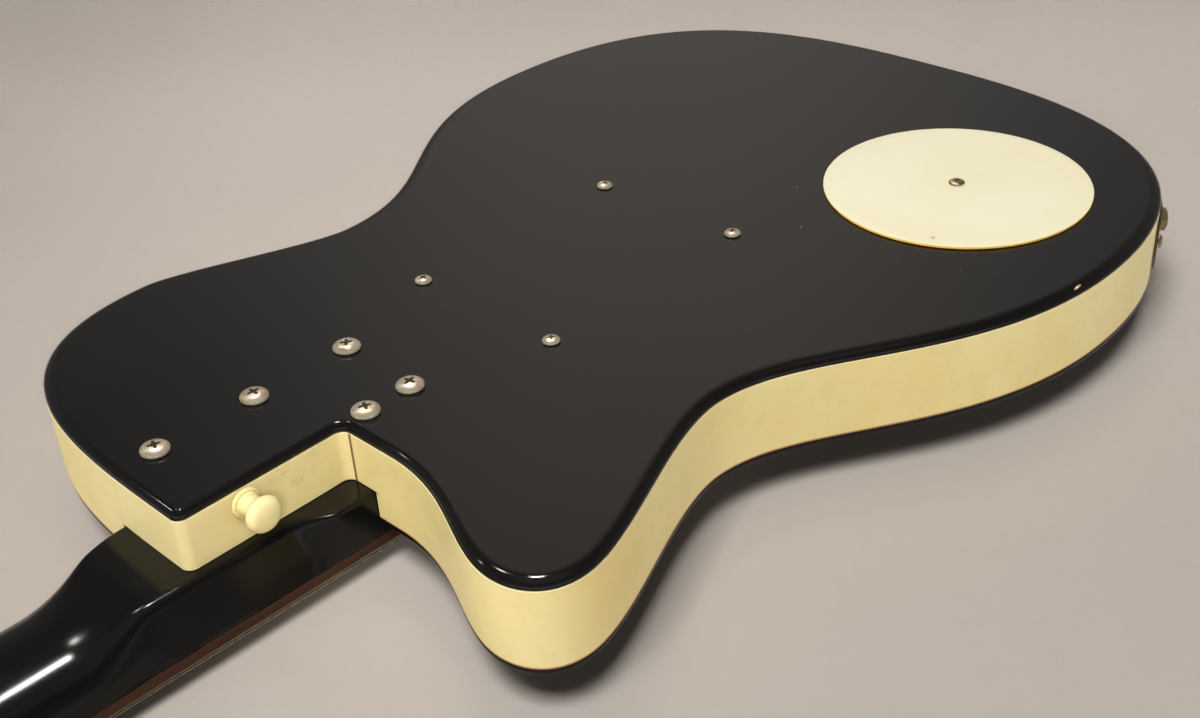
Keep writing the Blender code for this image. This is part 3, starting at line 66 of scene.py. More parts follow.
NOTCH_TREBLE = 0.040
HORN_TIP = (-0.2425, -0.1125)
HORN_SIDE = (-0.221, -0.134)
CORNER_RADIUS = 0.004

# Fullness of each stretch of the outline: the pull at its two ends as a share of the stretch
PULL_TAIL_BASS = (0.38, 0.97)
PULL_LOWER_BASS = (0.55, 0.36)
PULL_WAIST_BASS = (0.22, 0.21)
PULL_SHOULDER = (0.94, 0.50)
PULL_CUTAWAY = (0.46, 0.29)
PULL_HORN = (0.55, 0.67)
PULL_WAIST_TREBLE = (0.24, 0.28)
PULL_LOWER_TREBLE = (0.28, 0.52)
PULL_TAIL_TREBLE = (1.04, 0.23)
OUTLINE_STEP = 0.0022

# Body layers
GAP = 0.0003
BACK_THICKNESS = 0.0032
BACK_EDGE_DROP = 0.0029
BACK_EDGE_WIDE = 0.0053
BACK_EDGE_NARROW = 0.0030
NARROW_EDGE_PLACE = (-0.262, -0.020)
NARROW_EDGE_REACH = (0.055, 0.105)
CORE_FRONT = -0.0355
TOP_THICKNESS = 0.0032
TOP_FACE = CORE_FRONT - TOP_THICKNESS
FRONT_EDGE = (0.0022, 0.0013)
BAND_LAP = 0.0004
CORE_MIDDLE = (-BACK_THICKNESS + CORE_FRONT) / 2
TAPE_THICKNESS = 0.0005

# Neck, fingerboard, nut and headstock
SCALE_LENGTH = 0.635
NUT_X = -SCALE_LENGTH
FRETS = 21
NUT_WIDTH = 0.043
HEEL_WIDTH = 0.057
FINGERBOARD_END_X = -0.181
HEEL_END_X = -0.178
HEEL_BACK = -0.0245
NECK_FACE = -0.044
FINGERBOARD_THICKNESS = 0.006
CAMBER = 0.0011
NECK_THICKNESS_BODY = 0.0158
NECK_THICKNESS_NUT = 0.0140
HEEL_LEAN_TREBLE = (-0.237, 0.016)
HEEL_LEAN_BASS = (-0.292, 0.040)
HEEL_LEAN = 0.41
HEEL_FALL_START = -0.306
HEEL_FALL_LENGTH = 0.030
NUT_THICKNESS = 0.005
HEAD_LENGTH = 0.165

# Screws: places in plan, and head sizes
NECK_SCREWS = ((-0.1890, 0.0228), (-0.2316, 0.0228), (-0.2734, 0.0228),
               (-0.1910, -0.0162), (-0.2117, -0.0162))
PICKUP_SCREWS = ((-0.137, 0.0385), (-0.137, -0.0345), (-0.030, 0.0385), (-0.030, -0.0345))
NECK_SCREW = (0.0054, 0.0029, 0.0021, 0.040)
PICKUP_SCREW = (0.0035, 0.0019, 0.0014, 0.0352)
COVER_SCREW = (0.0035, 0.0014, 0.0014, 0.0045)
SMALL_SCREW = (0.0028, 0.0015, 0.0012, 0.010)

# Turns of the cross recesses of the screws in the back
NECK_TURNS = (0.15, 0.75, 0.45, 0.95, 0.35)
PICKUP_TURNS = (0.9, 0.1, 0.6, 1.2)

# Round rear cover and the opening under it, strap buttons and jack
COVER_PLACE = (0.063, -0.0833)
COVER_RADIUS = 0.0571
COVER_THICKNESS = 0.0012
ACCESS_RADIUS = 0.050
ACCESS_BAR = 0.016
STRAP_STEP = (-0.264, -0.014, -0.0095)
STRAP_TAIL = (TAIL_X, 0.0, CORE_MIDDLE)
STRAP_HEIGHT = 0.0135
STRAP_SHANK = 0.0017
JACK_X = 0.1217
JACK_SCREW_SPACING = 0.042
JACK_BARREL = 0.0040
JACK_BODY = 0.008
JACK_HOLE = 0.0033
JACK_RISE = 0.0052
JACK_FLATS = 0.0048
PLATE = 0.0009

# Marks of use: chips in the back's edge, specks on it, a stain on the cover, the band's seam and its grime
CHIP_FAR = (0.0191, -0.1652, -0.001)
CHIP_NEAR = (-0.0307, -0.1480, -0.001)
SPECKS = ((0.0211, -0.0292, 0.0), (-0.0075, -0.0530, 0.0))
COVER_STAIN = (0.0155, -0.1024, 0.0015)
SEAM = (-0.2212, -0.0175)
STEP_GRIME = ((-0.2489, -0.0140, -0.0060), (-0.2426, -0.0140, -0.0130), (-0.2340, -0.0140, -0.0045))

# Headstock and tuners: string posts from the nut outwards, bass row then treble row
NECK_FACE_STEP = 0.0015
HEEL_EDGES = (0.0018, 0.0036)
NECK_ROUNDNESS = 2.3
NUT_HEIGHT = 0.0074
HEAD_FACE = -0.0425
HEAD_BACK = -0.0290
HEAD_TIP_RISE = 0.007
POST_FIRST = 0.033
POST_PITCH = 0.035
POST_ROW = 0.020
POST_NUMBERS = (6, 5, 4, 1, 2, 3)
POST_PLACES = [(NUT_X - POST_FIRST - POST_PITCH * step, row) for row in (POST_ROW, -POST_ROW)
               for step in range(3)]
POST_RADIUS = 0.0031
POST_WAIST = 0.0026
POST_RISE = 0.015
GEAR_RADIUS = 0.0056
GEAR_TEETH = 12
GEAR_TOOTH = 0.0009
WORM_RADIUS = 0.0026
GEAR_LEVEL = HEAD_BACK + GAP + 0.001 + GAP + WORM_RADIUS
KEY_REACH = 0.028

# Strings, first to sixth, and the bridge
STRING_DIAMETERS = (0.00025, 0.00033, 0.00043, 0.00066, 0.00091, 0.00117)
STRING_SPREAD_NUT = 0.0355
STRING_SPREAD_SADDLE = 0.052
STRING_DEPTH_NUT = 0.0522
STRING_DEPTH_SADDLE = 0.0552
STRING_POST_DEPTH = 0.0462
STRING_WINDS = 1.5
BRIDGE_REAR = 0.032
BRIDGE_THICKNESS = 0.0016
BRIDGE_LIP = 0.0072
BRIDGE_SCREWS = ((-0.0085, 0.025), (-0.0085, -0.025))
LIP_LEVEL = TOP_FACE - GAP - BRIDGE_LIP + 0.0021 - GAP

# Pickups and controls
PICKUP_X = (-0.137, -0.030)
PICKUP_SHIFT = 0.002
PICKUP_RADIUS = 0.008
PICKUP_LENGTH = 0.066
PICKUP_RISE = 0.0088
POT_PLACES = ((0.052, -0.108), (0.097, -0.084))
POT_BUSHING = 0.0047
KNOB_HEIGHT = 0.0188
SWITCH_PLACE = (0.026, -0.076)
SWITCH_BUSHING = 0.0058

# Colours of the band and of the cover, where they are palest and deepest
BAND_PALE = (0.790, 0.697, 0.372)
BAND_DEEP = (0.725, 0.600, 0.260)
COVER_PALE = (0.845, 0.795, 0.585)
COVER_DEEP = (0.820, 0.762, 0.530)

# Light: the key lamp's heading and height over the point looked at, its distance, size and power
KEY_HEADING = 246.0
KEY_HEIGHT = 64.0
KEY_DISTANCE = 2.4
KEY_SIZE = (1.0, 0.85)
KEY_POWER = 75.0
LOW_LIGHT = 2.0
SIDE_LIGHT = 10.0
GLINTS = ((36, 67, 3.6, 130.0), (7, 57, 2.4, 60.0), (340, 40, 1.5, 60.0))

# How strongly the black lacquer bends light, which sets how much it mirrors
LACQUER = 1.37

# Camera: where it looks, from how far, and its lens
LOOK_AT = (0.1709, -0.0572, 0.0575)
LOOK_HEADING = 44.65
LOOK_DOWN = 32.69
LOOK_ROLL = -3.61
LOOK_DISTANCE = 0.5653
LENS = 46.15
SENSOR = 36.0

SHIFT = np.array([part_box("back_panel")[1].x - TAIL_X, 0.0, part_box("back_panel")[1].z])


# Shader maths

class Level:
    """A socket of a node graph; arithmetic on it adds Math nodes."""

    def __init__(self, graph, socket):
        self.graph = graph
        self.socket = socket

    def math(self, operation, first, second=0.0):
        """A Math node on two numbers or levels."""
        return self.graph.node("ShaderNodeMath", {"operation": operation}, {0: first, 1: second})

    def __add__(self, other):
        return self.math("ADD", self, other)

    __radd__ = __add__

    def __sub__(self, other):
        return self.math("SUBTRACT", self, other)

    def __rsub__(self, other):
        return self.math("SUBTRACT", other, self)

    def __mul__(self, other):
        return self.math("MULTIPLY", self, other)

    __rmul__ = __mul__

    def __pow__(self, other):
        return self.math("POWER", self, other)

    def span(self, low, high):
        """0 below low and 1 above high, with a smooth step between; high may be the smaller one."""
        return self.graph.node("ShaderNodeMapRange", {"interpolation_type": "SMOOTHSTEP"},
                               {0: self, 1: low, 2: high, 3: 0.0, 4: 1.0})

    def within(self, low, high, soft):
        """1 from low to high, falling to 0 over a soft border on both sides."""
        return self.span(low - soft, low) * self.span(high + soft, high)

    def least(self, other):
        return self.math("MINIMUM", self, other)

    def most(self, other):
        return self.math("MAXIMUM", self, other)


class Graph:
    """A node tree that nodes are added to."""

    def __init__(self, tree):
        self.tree = tree

    def node(self, kind, settings, values, out=0):
        """A node of a kind with its settings, then the values or links of its sockets."""
        made = self.tree.nodes.new(kind)
        for key, value in settings.items():
            if key == "stops":
                ramp = made.color_ramp
                while len(ramp.elements) < len(value):
                    ramp.elements.new(1.0)
                for element, (position, color) in zip(ramp.elements, value):
                    element.position = position
                    element.color = (*color, 1.0)
            else:
                setattr(made, key, value)
        for key, value in values.items():
            if isinstance(value, Level):
                self.tree.links.new(value.socket, made.inputs[key])
            elif isinstance(value, tuple) and made.inputs[key].type == "RGBA":
                made.inputs[key].default_value = (*value, 1.0)
            else:
                made.inputs[key].default_value = value
        return Level(self, made.outputs[out])

    def blend(self, share, first, second):
        """One colour turned into another by a share."""
        return self.node("ShaderNodeMix", {"data_type": "RGBA"}, {0: share, 6: first, 7: second}, 2)


class Finish(Graph):
    """A procedural material around one Principled shader."""

    def __init__(self, name, **uniform):
        self.material = bpy.data.materials.new(name)
        self.material.use_nodes = True
        super().__init__(self.material.node_tree)
        self.shader = self.tree.nodes["Principled BSDF"]
        for socket, value in uniform.items():
            self.socket(socket).default_value = value
        self.place = self.node("ShaderNodeTexCoord", {}, {}, "Object")

    def socket(self, name):
        """The shader's input of a name written in lower case with underscores."""
        return self.shader.inputs["IOR" if name == "ior" else name.replace("_", " ").title()]

    def scaled(self, scale):
        """Object coordinates times a scale on each axis."""
        return self.node("ShaderNodeMapping", {}, {"Vector": self.place, "Scale": scale})

    def axis(self, name):
        """One Object coordinate."""
        return self.node("ShaderNodeSeparateXYZ", {}, {0: self.place}, name)

    def noise(self, scale, detail=3.0, vector=None, roughness=0.55):
        return self.node("ShaderNodeTexNoise", {}, {"Vector": vector or self.place, "Scale": scale,
                                                    "Detail": detail, "Roughness": roughness})

    def cells(self, scale, vector=None):
        """Distance from the nearest of many scattered points."""
        return self.node("ShaderNodeTexVoronoi", {}, {"Vector": vector or self.place, "Scale": scale})

    def paint(self, **sockets):
        """Feed the shader's sockets."""
        for name, value in sockets.items():
            self.tree.links.new(value.socket, self.socket(name))

    def bump(self, height, depth, strength=1.0):
        """Raise the surface by a height in metres times depth."""
        normal = self.node("ShaderNodeBump", {}, {"Height": height, "Distance": depth, "Strength": strength})
        self.tree.links.new(normal.socket, self.shader.inputs["Normal"])


def near(finish, place, radius):
    """1 at a place of the drawing, falling to 0 at a radius round it."""
    point = tuple(float(value) for value in np.array(place) + SHIFT)
    away = finish.node("ShaderNodeVectorMath", {"operation": "DISTANCE"}, {0: finish.place, 1: point},
                       "Value")
    return away.span(radius, 0.0)


def drawn(value, axis):
    """A coordinate of the guitar's drawing as an Object coordinate."""
    return float(value + SHIFT["XYZ".index(axis)])


def gloss_black(name, roughness, speckle, ior=LACQUER):
    """Black lacquer: dust specks, hairline scratches and a faint cloudiness in the shine."""
    finish = Finish(name, ior=ior)
    cloud = finish.noise(9.0, 4.0)
    specks = finish.cells(330.0).span(0.09, 0.04) * finish.noise(38.0, 1.0).span(0.64, 0.70) * speckle
    hairs = finish.noise(60.0, 2.0, finish.scaled((0.4, 6.0, 1.0))).span(0.60, 0.78)
    color = finish.blend(cloud.span(0.35, 0.7), (0.0034, 0.0032, 0.0031), (0.0052, 0.0047, 0.0043))
    color = finish.blend(specks, color, (0.09, 0.08, 0.065))
    finish.paint(base_color=color, roughness=roughness + cloud.span(0.3, 0.75) * 0.03 + hairs * 0.02)
    finish.bump(finish.noise(140.0, 2.0) + specks * 2.0, 0.00002, 0.25)
    return finish.material


def board_black():
    """The back board's lacquer: two chips in its rolled edge, a few specks, scratches and soft clouds."""
    finish = Finish("board_black", ior=LACQUER)
    cloud = finish.noise(7.0, 4.0)
    specks = finish.cells(300.0).span(0.075, 0.035) * finish.noise(30.0, 1.0).span(0.64, 0.72) * 0.5
    for place in SPECKS:
        specks = specks.most(near(finish, place, 0.0009).span(0.2, 0.8))
    hairs = finish.noise(46.0, 2.0, finish.scaled((0.3, 7.0, 1.0))).span(0.62, 0.80)
    color = finish.blend(cloud.span(0.35, 0.7), (0.0036, 0.0034, 0.0032), (0.0054, 0.0049, 0.0045))
    color = finish.blend(specks, color, (0.20, 0.17, 0.13))
    ragged = finish.noise(900.0, 2.0) * 0.35
    along = finish.node("ShaderNodeMapping", {}, {"Vector": finish.place, "Scale": (1.0, 5.0, 3.0)})
    for place, reach in ((CHIP_FAR, 0.0046), (CHIP_NEAR, 0.0030)):
        point = tuple(float(value) for value in (np.array(place) + SHIFT) * (1.0, 5.0, 3.0))
        away = finish.node("ShaderNodeVectorMath", {"operation": "DISTANCE"}, {0: along, 1: point}, "Value")
        chip = (away.span(reach, 0.0) - ragged).span(0.15, 0.30)
        color = finish.blend(chip, color, (0.40, 0.22, 0.11))
        color = finish.blend((away.span(reach * 0.6, 0.0) - ragged).span(0.35, 0.5), color, (0.86, 0.80, 0.72))
    finish.paint(base_color=color, roughness=0.075 + cloud.span(0.3, 0.75) * 0.03 + hairs * 0.02)
    finish.bump(finish.noise(110.0, 2.0) + specks * 2.0, 0.00002, 0.25)
    return finish.material


def edge_vinyl():
    """The aged band: uneven yellowing, a glued seam, grime on the step wall and orange glue along its foot; painted
    shade deepens the horn's far side and a painted highlight runs along its top border.
    """
    finish = Finish("edge_vinyl", ior=1.45)
    cloud = finish.noise(11.0, 5.0)
    fine = finish.noise(160.0, 3.0)
    height = finish.axis("Z")
    color = finish.blend(cloud.span(0.32, 0.72), BAND_PALE, BAND_DEEP)
    color = finish.blend(fine.span(0.45, 0.8) * 0.20, color, (0.60, 0.46, 0.19))
    # Painted shade: a deeper, darker tone on the horn's side that faces away from the key lamp.
    color = finish.blend(near(finish, (-0.205, -0.146, -0.022), 0.045) * 0.7, color, (0.66, 0.50, 0.19))
    grime = finish.noise(110.0, 4.0).span(0.50, 0.85) * near(finish, (-0.245, -0.0140, -0.008), 0.040) * 0.5
    spots = finish.noise(420.0, 4.0).span(0.42, 0.75)
    for place in STEP_GRIME:
        grime = grime.most(near(finish, place, 0.0050) * spots)
    color = finish.blend(grime.least(1.0) * 0.45, color, (0.26, 0.20, 0.10))
    seam_y = drawn(SEAM[1], "Y")
    seam = finish.axis("Y").within(seam_y - 0.00045, seam_y + 0.00045, 0.0003)
    seam = seam * finish.axis("X").within(drawn(SEAM[0] - 0.001, "X"), drawn(SEAM[0] + 0.002, "X"), 0.0005)
    joint = height.within(drawn(-0.0248, "Z"), drawn(-0.0240, "Z"), 0.0002)
    joint = joint * near(finish, (-0.2212, -0.020, -0.0244), 0.014).span(0.1, 0.5)
    color = finish.blend(seam.most(joint * 0.8) * 0.9, color, (0.16, 0.055, 0.020))
    low = drawn(CORE_FRONT + GAP - BAND_LAP, "Z")
    high = drawn(-BACK_THICKNESS - GAP, "Z")
    wander = finish.noise(60.0, 3.0) * 0.0003
    glue = (height - wander).span(low + 0.0008, low + 0.0003)
    color = finish.blend(glue * 0.85, color, (0.40, 0.13, 0.035))
    # Painted highlight: a paler line along the top border, where the eased edge catches the light.
    color = finish.blend(height.span(high - 0.0004, high) * 0.5, color, (0.90, 0.84, 0.62))
    finish.paint(base_color=color, roughness=0.36 + cloud.span(0.3, 0.8) * 0.12 + grime * 0.2)
    finish.bump(fine + cloud * 2.0 - seam * 3.0, 0.00006, 0.4)
    return finish.material


def cream_plastic():
    """Moulded cream plastic, paler than the band: a faint mottle, a stain and a golden side, partly a yellowed edge
    and partly painted shade.
    """
    finish = Finish("cream_plastic_aged", ior=1.46)
    cloud = finish.noise(16.0, 4.0)
    fine = finish.noise(420.0, 2.0)
    color = finish.blend(cloud.span(0.35, 0.7), COVER_PALE, COVER_DEEP)
    # The disc's side, painted golden all round: partly a yellowed edge, partly painted shade.
    rim = finish.axis("Z").span(drawn(GAP + COVER_THICKNESS - 0.00005, "Z"),
                                drawn(GAP + COVER_THICKNESS - 0.0003, "Z"))
    color = finish.blend(rim, color, (0.80, 0.50, 0.11))
    speck = near(finish, COVER_STAIN, 0.0018).span(0.1, 0.7)
    color = finish.blend(speck * 0.7, color, (0.45, 0.30, 0.10))
    finish.paint(base_color=color, roughness=0.32 + cloud.span(0.3, 0.8) * 0.08)
    finish.bump(fine + cloud, 0.00003, 0.3)
    return finish.material


def button_plastic():
    """The strap buttons' plastic, as yellow as the band, a little clearer, with a deeper mottle and a few dark grits.
    """
    finish = Finish("button_plastic", ior=1.46)
    cloud = finish.noise(90.0, 4.0)
    color = finish.blend(cloud.span(0.3, 0.75), (0.80, 0.71, 0.39), (0.74, 0.62, 0.27))
    grit = finish.cells(600.0).span(0.16, 0.05) * finish.noise(160.0, 1.0).span(0.55, 0.65)
    color = finish.blend(grit * 0.5, color, (0.25, 0.13, 0.05))
    finish.paint(base_color=color, roughness=0.38 + cloud.span(0.3, 0.8) * 0.10)
    finish.bump(cloud, 0.00003, 0.3)
    return finish.material


def worn_metal(name, bright, dull, roughness, tarnish=0.5, metallic=1.0):
    """Plated metal with cloudy tarnish, fine pits and rubbed streaks."""
    finish = Finish(name, metallic=metallic)
    cloud = finish.noise(260.0, 4.0)
    pits = finish.cells(1900.0).span(0.20, 0.05) * finish.noise(500.0, 1.0).span(0.5, 0.7)
    share = (cloud.span(0.40, 0.75) * tarnish + pits * 0.5).least(1.0)
    color = finish.blend(share, bright, dull)
    finish.paint(base_color=color, roughness=roughness + cloud.span(0.3, 0.8) * 0.16 + pits * 0.2)
    finish.bump(cloud - pits * 2.0, 0.00001, 0.4)
    return finish.material


def grime_and_hole_shade():
    """Dirt that has settled in the screws' recesses, and the painted shade inside the jack's hole."""
    finish = Finish("recess_grime", metallic=0.3)
    cloud = finish.noise(900.0, 3.0)
    finish.paint(base_color=finish.blend(cloud, (0.045, 0.024, 0.012), (0.17, 0.10, 0.055)),
                 roughness=0.6 + cloud * 0.2)
    return finish.material


def dark_wood(name, deep, light, lacquer=0.0):
    """Open-grained dark wood: streaks along the strings, short pores and a painted golden highlight along the
    fingerboard's lower edge.
    """
    finish = Finish(name, ior=1.28)
    streaks = finish.noise(70.0, 5.0, finish.scaled((0.06, 1.0, 1.6)), 0.62)
    pores = finish.noise(420.0, 2.0, finish.scaled((0.05, 1.0, 1.0))).span(0.58, 0.72)
    color = finish.blend(streaks.span(0.3, 0.72), deep, light)
    color = finish.blend(pores * 0.7, color, tuple(value * 0.35 for value in deep))
    # Painted highlight: a thin golden line along the fingerboard's lower edge, where light catches its corner.
    low = drawn(float(board_face(1)), "Z")
    rim = finish.axis("Z").within(low + 0.0001, low + 0.0004, 0.0001)
    rim = rim * finish.axis("X").span(drawn(-0.11, "X"), drawn(-0.13, "X"))
    color = finish.blend(rim * 0.9, color, (0.42, 0.27, 0.05))
    finish.paint(base_color=color, roughness=0.42 - lacquer + streaks * 0.18 + pores * 0.15)
    finish.bump(streaks - pores * 1.5, 0.00006, 0.5)
    return finish.material


def bare_wood():
    """Pale construction wood, cut and left bare inside the body."""
    finish = Finish("bare_wood")
    streaks = finish.noise(30.0, 5.0, finish.scaled((0.12, 1.0, 1.0)), 0.6)
    color = finish.blend(streaks.span(0.3, 0.7), (0.50, 0.33, 0.17), (0.66, 0.49, 0.29))
    finish.paint(base_color=color, roughness=0.6 + streaks * 0.2)
    finish.bump(streaks, 0.0001, 0.5)
    return finish.material


def moulded(name, color, other, roughness):
    """Moulded plastic with a slight mottle and a fine skin."""
    finish = Finish(name)
    cloud = finish.noise(60.0, 4.0)
    fine = finish.noise(900.0, 2.0)
    finish.paint(base_color=finish.blend(cloud.span(0.3, 0.75), color, other),
                 roughness=roughness + cloud.span(0.3, 0.8) * 0.12)
    finish.bump(fine + cloud, 0.00002, 0.4)
    return finish.material


def wound_wire():
    """A wound string: fine turns square to its length, dulled between them."""
    finish = Finish("wound_wire", metallic=1.0)
    turn = finish.node("ShaderNodeTexWave", {"wave_type": "BANDS", "bands_direction": "X"},
                       {"Vector": finish.place, "Scale": 620.0, "Distortion": 0.0})
    cloud = finish.noise(40.0, 3.0)
    color = finish.blend((turn * 0.4 + cloud * 0.5).least(1.0), (0.74, 0.70, 0.62), (0.40, 0.34, 0.26))
    finish.paint(base_color=color, roughness=0.30 + cloud.span(0.3, 0.8) * 0.15)
    finish.bump(turn, 0.00004, 0.5)
    return finish.material


# Surfaces: every function returns (points, faces), with the faces as an array of corner numbers

def quads(rows, columns, rows_close=False, columns_close=True):
    """Corner numbers of the faces between neighbouring rows and columns of a grid."""
    row = np.arange(rows if rows_close else rows - 1)[:, None]
    column = np.arange(columns if columns_close else columns - 1)[None, :]
    below = (row + 1) % rows
    beside = (column + 1) % columns
    corners = [row * columns + column, row * columns + beside, below * columns + beside, below * columns + column]
    return np.stack(np.broadcast_arrays(*corners), axis=-1).reshape(-1, 4)


def outward(points, faces):
    """Turn every face round where the volume, the sum of corner products, comes out negative."""
    volume = 0.0
    for face in faces:
        corners = points[np.array(face)]
        fan = np.cross(corners[1:-1], corners[2:]) @ corners[0]
        volume += float(np.sum(fan))
    return faces if volume >= 0 else [tuple(reversed(face)) for face in faces]


def skin(rings, rows_close=False):
    """A closed surface over rings of equal count, with flat ends unless the rows close on themselves."""
    rings = np.asarray(rings, float)
    rows, columns = rings.shape[:2]
    points = rings.reshape(-1, 3)
    faces = [tuple(face) for face in quads(rows, columns, rows_close).tolist()]
    if not rows_close:
        faces.append(tuple(range(columns - 1, -1, -1)))
        faces.append(tuple(range((rows - 1) * columns, rows * columns)))
    return points, outward(points, faces)


def axes_round(axis):
    """Two unit vectors square to an axis and to each other, then the axis."""
    axis = Vector(axis).normalized()
    side = axis.orthogonal().normalized()
    return np.array(side), np.array(axis.cross(side)), np.array(axis)


def turned(profile, base=(0, 0, 0), axis=(0, 0, 1), sides=64, close=False, wave=None):
    """Radius and height pairs turned about an axis: point = base + r (cos, sin) + h axis.

    A wave is a factor on the radius for each angle.
    """
    across, over, along = axes_round(axis)
    angle = np.arange(sides) * 2 * math.pi / sides
    circle = np.cos(angle)[:, None] * across + np.sin(angle)[:, None] * over
    profile = np.asarray(profile, float)
    factor = np.ones(sides) if wave is None else wave(angle)
    rings = np.asarray(base) + profile[:, 0, None, None] * factor[None, :, None] * circle
    return skin(rings + profile[:, 1, None, None] * along, close)


def filleted(points, radius, count=5):
    """An open run of points with each inner corner rounded: a parabola between its tangent points."""
    points = np.asarray(points, float)
    radii = np.broadcast_to(radius, len(points))
    out = [points[:1]]
    for before, corner, after, size in zip(points[:-2], points[1:-1], points[2:], radii[1:-1]):
        to = before - corner
        on = after - corner
        reach = min(size, 0.49 * np.linalg.norm(to), 0.49 * np.linalg.norm(on))
        first = corner + to / np.linalg.norm(to) * reach
        last = corner + on / np.linalg.norm(on) * reach
        share = np.linspace(0, 1, count)[:, None]
        out.append((1 - share) ** 2 * first + 2 * share * (1 - share) * corner + share**2 * last)
    out.append(points[-1:])
    return np.concatenate(out)


def swept(path, radii, sides=10):
    """A round wire along a path: each ring lies square to the way between its neighbours."""
    path = np.asarray(path, float)
    radii = np.broadcast_to(radii, len(path))
    ahead = np.gradient(path, axis=0)
    ahead /= np.linalg.norm(ahead, axis=1)[:, None]
    side = axes_round(ahead[0])[0]
    angle = np.arange(sides) * 2 * math.pi / sides
    rings = []
    for point, way, radius in zip(path, ahead, radii):
        side = side - way * np.dot(side, way)
        side /= np.linalg.norm(side)
        over = np.cross(way, side)
        rings.append(point + radius * (np.outer(np.cos(angle), side) + np.outer(np.sin(angle), over)))
    return skin(rings)


def prism(loop, low, high):
    """A flat outline carried from one height to another."""
    loop = np.asarray(loop, float)
    return skin([np.insert(loop, 2, level, axis=1) for level in (low, high)])


def together(*shapes):
    """Several surfaces as one."""
    points = []
    faces = []
    start = 0
    for shape_points, shape_faces in shapes:
        points.append(shape_points)
        faces += [tuple(start + index for index in face) for face in shape_faces]
        start += len(shape_points)
    return np.concatenate(points), faces


# Objects

def solid(name, shape):
    """A mesh object of a surface, shaded smooth except at real edges."""
    points, faces = shape
    mesh = bpy.data.meshes.new(name)
    mesh.from_pydata((points + SHIFT).tolist(), [], faces)
    mesh.update()
    made = bpy.data.objects.new(name, mesh)
    bpy.context.scene.collection.objects.link(made)
    return made


def boolean(target, cutter, operation):
    """Combine an object with a cutter, keep the result as its mesh and remove the cutter."""
    modifier = target.modifiers.new("carve", "BOOLEAN")
    modifier.operation = operation
    modifier.solver = "EXACT"
    modifier.object = cutter
    depsgraph = bpy.context.evaluated_depsgraph_get()
    result = bpy.data.meshes.new_from_object(target.evaluated_get(depsgraph))
    target.modifiers.clear()
    target.data = result
    bpy.data.objects.remove(cutter)


def carve(target, *shapes, operation="DIFFERENCE"):
    """Cut surfaces away from an object, or unite them with it one after another."""
    if operation == "UNION":
        for shape in shapes:
            boolean(target, solid(target.name + "_part", shape), operation)
    else:
        boolean(target, solid(target.name + "_cutter", together(*shapes)), operation)


def dress(target, material, body="body", stands_for=(), angle=32):
    """Finish a piece: smooth shading, its material, its body and the nodes it stands for."""
    mesh = target.data
    mesh.shade_smooth()
    mesh.set_sharp_from_angle(angle=math.radians(angle))
    if not mesh.materials:
        mesh.materials.append(material)
    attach(target, body)
    if stands_for:
        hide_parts(*stands_for)
    return target


# Outline of the body in plan

def stretch(start, end, ways, pulls):
    """A cubic between two points whose ends leave along x or y: points and directions at even shares.

    point = (1-t)^3 start + 3 (1-t)^2 t first + 3 (1-t) t^2 second + t^3 end
    """
    start = np.array(start, float)
    end = np.array(end, float)
    span = end - start
    axis = {"x": np.array([1.0, 0.0]), "y": np.array([0.0, 1.0])}
    first = start + axis[ways[0]] * span * pulls[0]
    second = end - axis[ways[1]] * span * pulls[1]
    share = np.linspace(0, 1, max(12, int(np.linalg.norm(span) / OUTLINE_STEP)), endpoint=False)[:, None]
    rest = 1 - share
    points = rest**3 * start + 3 * rest**2 * share * first + 3 * rest * share**2 * second + share**3 * end
    ways_out = rest**2 * (first - start) + 2 * rest * share * (second - first) + share**2 * (end - second)
    return points, ways_out / np.linalg.norm(ways_out, axis=1)[:, None]


def inset_path(stretches, closing, closing_way, inset):
    """Stretches one after another, moved square to their direction towards the inside of the body."""
    points = np.concatenate([item[0] for item in stretches] + [[closing]])
    ways = np.concatenate([item[1] for item in stretches] + [[closing_way]])
    return points + np.column_stack([-ways[:, 1], ways[:, 0]]) * inset


def bass_path(inset=0.0):
    """From the tail round the bass side to the end wall."""
    tail = (TAIL_X, 0)
    lower = (LOWER_BOUT_X, LOWER_BOUT)
    waist = (WAIST_X, WAIST_BASS)
    upper = (UPPER_BOUT_X, UPPER_BOUT_BASS)
    end = (END_WALL_X, END_WALL_BASS)
    runs = [stretch(tail, lower, "yx", PULL_TAIL_BASS), stretch(lower, waist, "xx", PULL_LOWER_BASS),
            stretch(waist, upper, "xx", PULL_WAIST_BASS), stretch(upper, end, "xy", PULL_SHOULDER)]
    return inset_path(runs, end, (0, -1), inset)


def treble_path(inset=0.0):
    """From the notch wall round the horn and the treble side to the tail."""
    notch = (NOTCH_X, -NOTCH_TREBLE)
    waist = (WAIST_X, -WAIST_TREBLE)
    lower = (LOWER_BOUT_X, -LOWER_BOUT)
    tail = (TAIL_X, 0)
    runs = [stretch(notch, HORN_TIP, "yy", PULL_CUTAWAY), stretch(HORN_TIP, HORN_SIDE, "yx", PULL_HORN),
            stretch(HORN_SIDE, waist, "xx", PULL_WAIST_TREBLE), stretch(waist, lower, "xx", PULL_LOWER_TREBLE),
            stretch(lower, tail, "xy", PULL_TAIL_TREBLE)]
    return inset_path(runs, tail, (0, 1), inset)[:-1]


def bend(center, radius, first, last, count=12):
    """Points of a circle between two angles in degrees."""
    angle = np.radians(np.linspace(first, last, count))
    return np.array(center) + radius * np.column_stack([np.cos(angle), np.sin(angle)])


